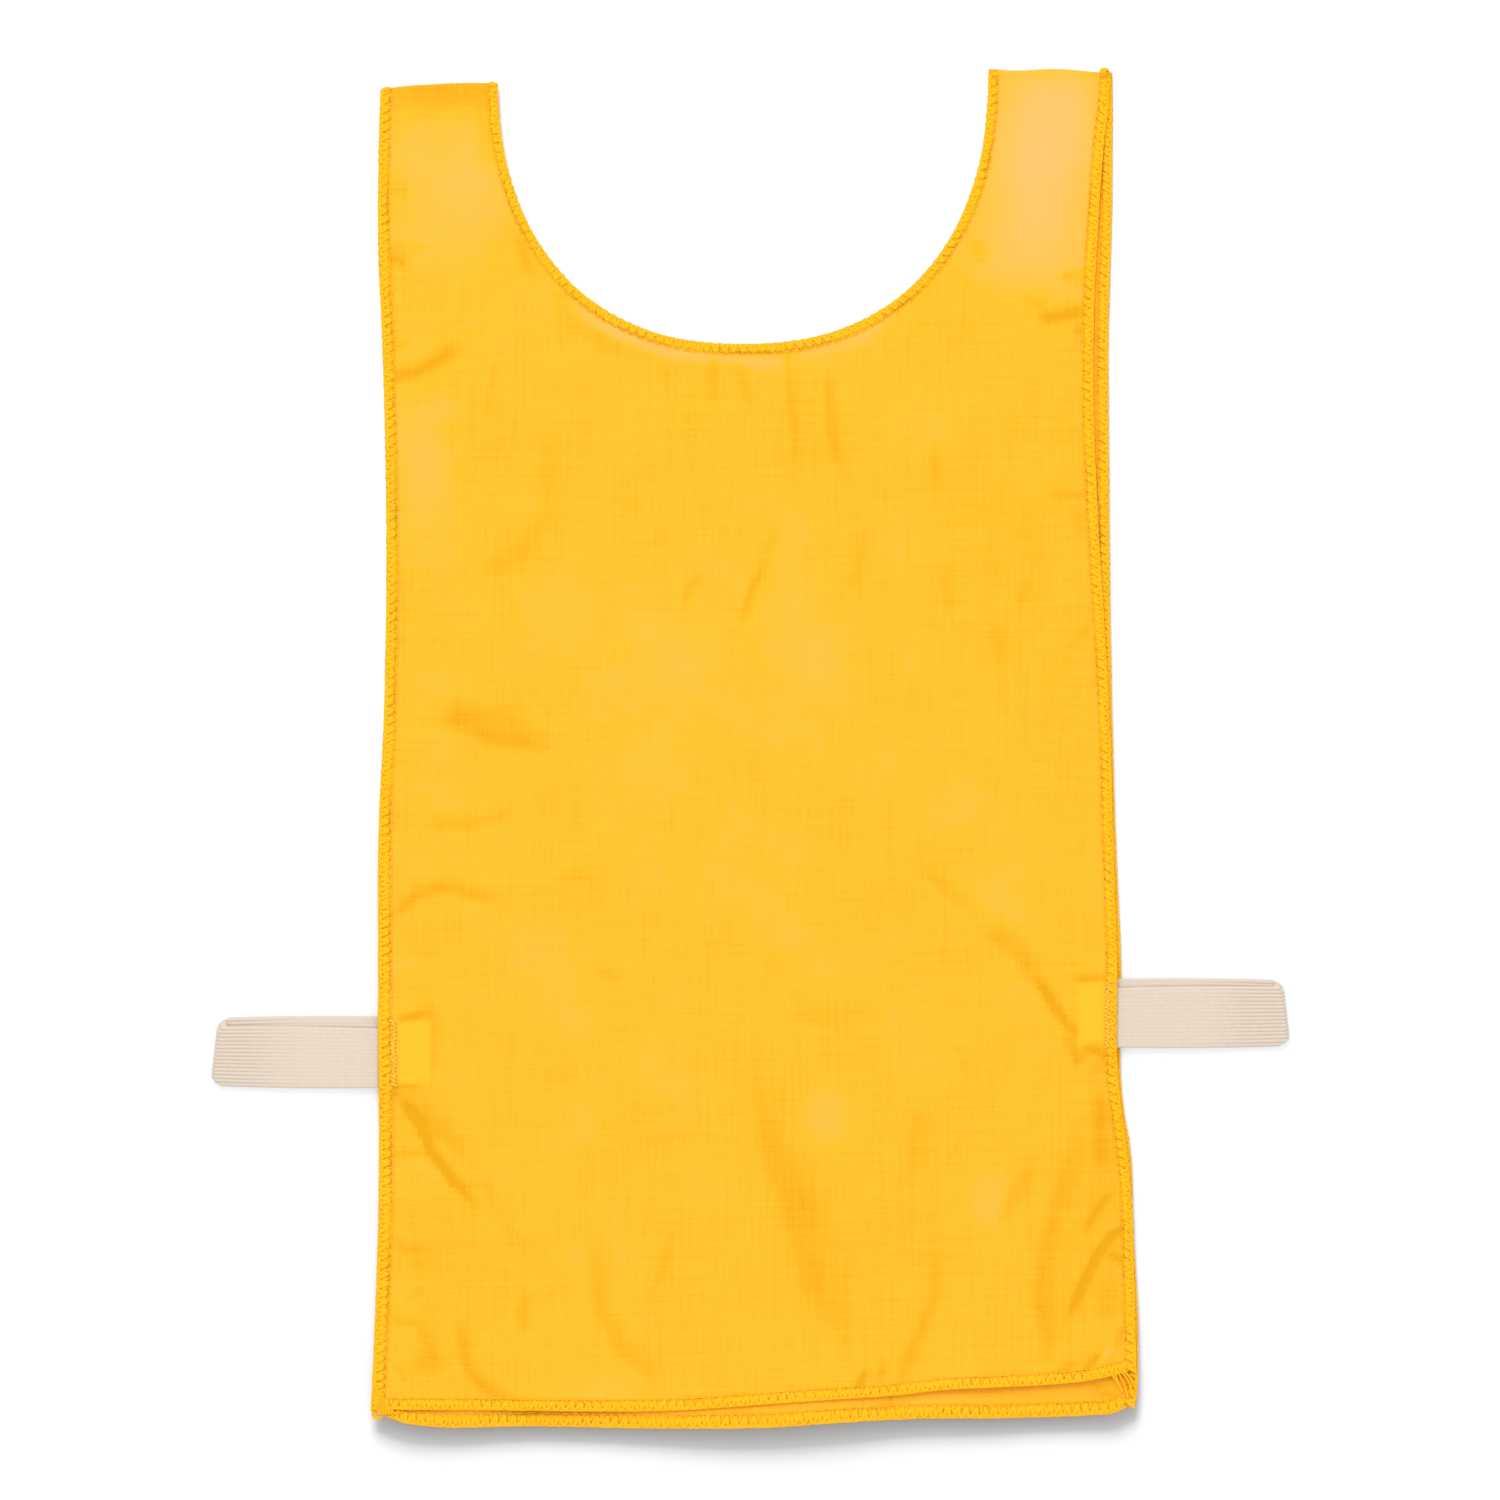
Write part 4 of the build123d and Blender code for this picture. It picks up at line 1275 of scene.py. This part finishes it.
class BIB_OT_loose_ends(bpy.types.Operator):
    """Leaves the loose ends of the overlock chain at the corners of the front hem"""

    bl_idname = "bib.loose_ends"
    bl_label = "Loose ends"

    def execute(self, context):
        sizes = context.scene.bib_sizes
        material = bpy.data.materials["overlock_yarn"]
        left = [(-153.4, -268), (-154.6, -270.6), (-155, -273), (-153.6, -274.6), (-151.6, -274.2),
                (-151.2, -272.6)]
        ends = {
            "left": [left, [(x + 0.8, y + 0.7) for x, y in left[:5]]] + [
                [(-153.9, -260.2 - 1.4 * k), (-151.8 - 0.4 * k, -264.3 - 1.1 * k),
                 (-148.6 - 0.7 * k, -269.2 - 0.55 * k), (-145.4 - 1.2 * k, -272.6)]
                for k in range(6)],
            "right": [
                [(150.4, -254.6), (152.6, -258), (154.4, -262.4), (155.2, -266)],
                [(151.4, -254.4), (154.4, -257), (156.4, -261.4), (157, -265)],
                [(149.6, -255), (150.6, -259), (152.8, -263.4)],
                [(148.4, -255.4), (149.2, -257.6), (151, -260.4)],
                [(152.6, -254.4), (155.8, -256.4), (157.4, -260.4)],
            ],
        }
        hems = {"left": -268, "right": -254}
        for name, strands in ends.items():
            lines = []
            for number, strand in enumerate(strands):
                x, y = np.array(strand).T
                high = cloth_height("front", x, np.maximum(y, hems[name]))
                low = high + 0.4
                if name == "right":
                    low = cloth_height("back", x, np.maximum(y, -268)) + 0.9
                z = high + (low - high) * np.linspace(0, 1, len(strand)) + 0.12 * number
                lines.append((np.column_stack((x, y, z)), 1.0))
            piece = yarn(lines, f"front_{name}_loose_end", sizes.yarn_radius * LOOSE_SHARE,
                         material, rounding=4, loops=1)
            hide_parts(f"front_{name}_chain_tail")
            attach(piece, "front")
        return {"FINISHED"}


class BIB_OT_studio(bpy.types.Operator):
    """Sets the pale floor, the soft lights and the camera that looks straight down"""

    bl_idname = "bib.studio"
    bl_label = "Studio"

    def execute(self, context):
        scene = context.scene
        bm = bmesh.new()
        bmesh.ops.create_grid(bm, x_segments=1, y_segments=1, size=FLOOR_SIZE)
        floor = finish_mesh(bm, "studio_floor_sheet", bpy.data.materials["studio_floor"],
                            smooth=False)
        floor.data.transform(Matrix.Translation((0, 0, -FLOOR_DROP)))
        world = bpy.data.worlds.new("studio")
        world.use_nodes = True
        background = world.node_tree.nodes["Background"]
        background.inputs["Color"].default_value = (1.0, 1.0, 1.0, 1.0)
        background.inputs["Strength"].default_value = WORLD_LIGHT
        scene.world = world
        for name, place, size, power in LAMPS:
            lamp = bpy.data.lights.new(name, "AREA")
            lamp.size = size
            lamp.energy = power
            holder = bpy.data.objects.new(name, lamp)
            holder.location = place
            holder.rotation_euler = Vector(place).to_track_quat("Z", "Y").to_euler()
            scene.collection.objects.link(holder)
        # The last lamp lights only the floor, and only the panels and hems shade it
        lit = bpy.data.collections.new("floor_only")
        shading = bpy.data.collections.new("panels_only")
        lit.objects.link(floor)
        for piece in scene.objects:
            if piece.name.endswith(("cloth", "hem_stitching")):
                shading.objects.link(piece)
        holder.light_linking.receiver_collection = lit
        holder.light_linking.blocker_collection = shading
        camera = bpy.data.cameras.new("camera")
        camera.sensor_width = SENSOR_WIDTH
        camera.lens = SENSOR_WIDTH * CAMERA_HEIGHT / VIEW_WIDTH
        camera.clip_end = 20.0
        eye = bpy.data.objects.new("camera", camera)
        eye.location = (0.0, 0.0, CAMERA_HEIGHT)
        scene.collection.objects.link(eye)
        scene.camera = eye
        scene.view_settings.view_transform = "Standard"
        return {"FINISHED"}


class BIB_PT_panel(bpy.types.Panel):
    """Lists the bib's pieces, sizes and colours"""

    bl_idname = "BIB_PT_panel"
    bl_label = "Training bib"
    bl_space_type = "VIEW_3D"
    bl_region_type = "UI"
    bl_category = "Bib"

    def draw(self, context):
        for operator in OPERATORS:
            self.layout.operator(operator.bl_idname)
        for group in (context.scene.bib_sizes, context.scene.bib_colours):
            for name in group.__annotations__:
                self.layout.prop(group, name)


OPERATORS = (
    BIB_OT_materials,
    BIB_OT_cloth,
    BIB_OT_stitching,
    BIB_OT_elastic,
    BIB_OT_bartacks,
    BIB_OT_loose_ends,
    BIB_OT_studio,
)
CLASSES = (BibSizes, BibColours, *OPERATORS, BIB_PT_panel)


def register():
    for item in CLASSES:
        bpy.utils.register_class(item)
    bpy.types.Scene.bib_sizes = bpy.props.PointerProperty(type=BibSizes)
    bpy.types.Scene.bib_colours = bpy.props.PointerProperty(type=BibColours)


def unregister():
    del bpy.types.Scene.bib_colours
    del bpy.types.Scene.bib_sizes
    for item in reversed(CLASSES):
        bpy.utils.unregister_class(item)


def main():
    register()
    bpy.ops.bib.materials()
    bpy.ops.bib.cloth()
    bpy.ops.bib.stitching()
    bpy.ops.bib.elastic()
    bpy.ops.bib.bartacks()
    bpy.ops.bib.loose_ends()
    bpy.ops.bib.studio()
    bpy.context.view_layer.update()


if __name__ == "__main__":
    main()
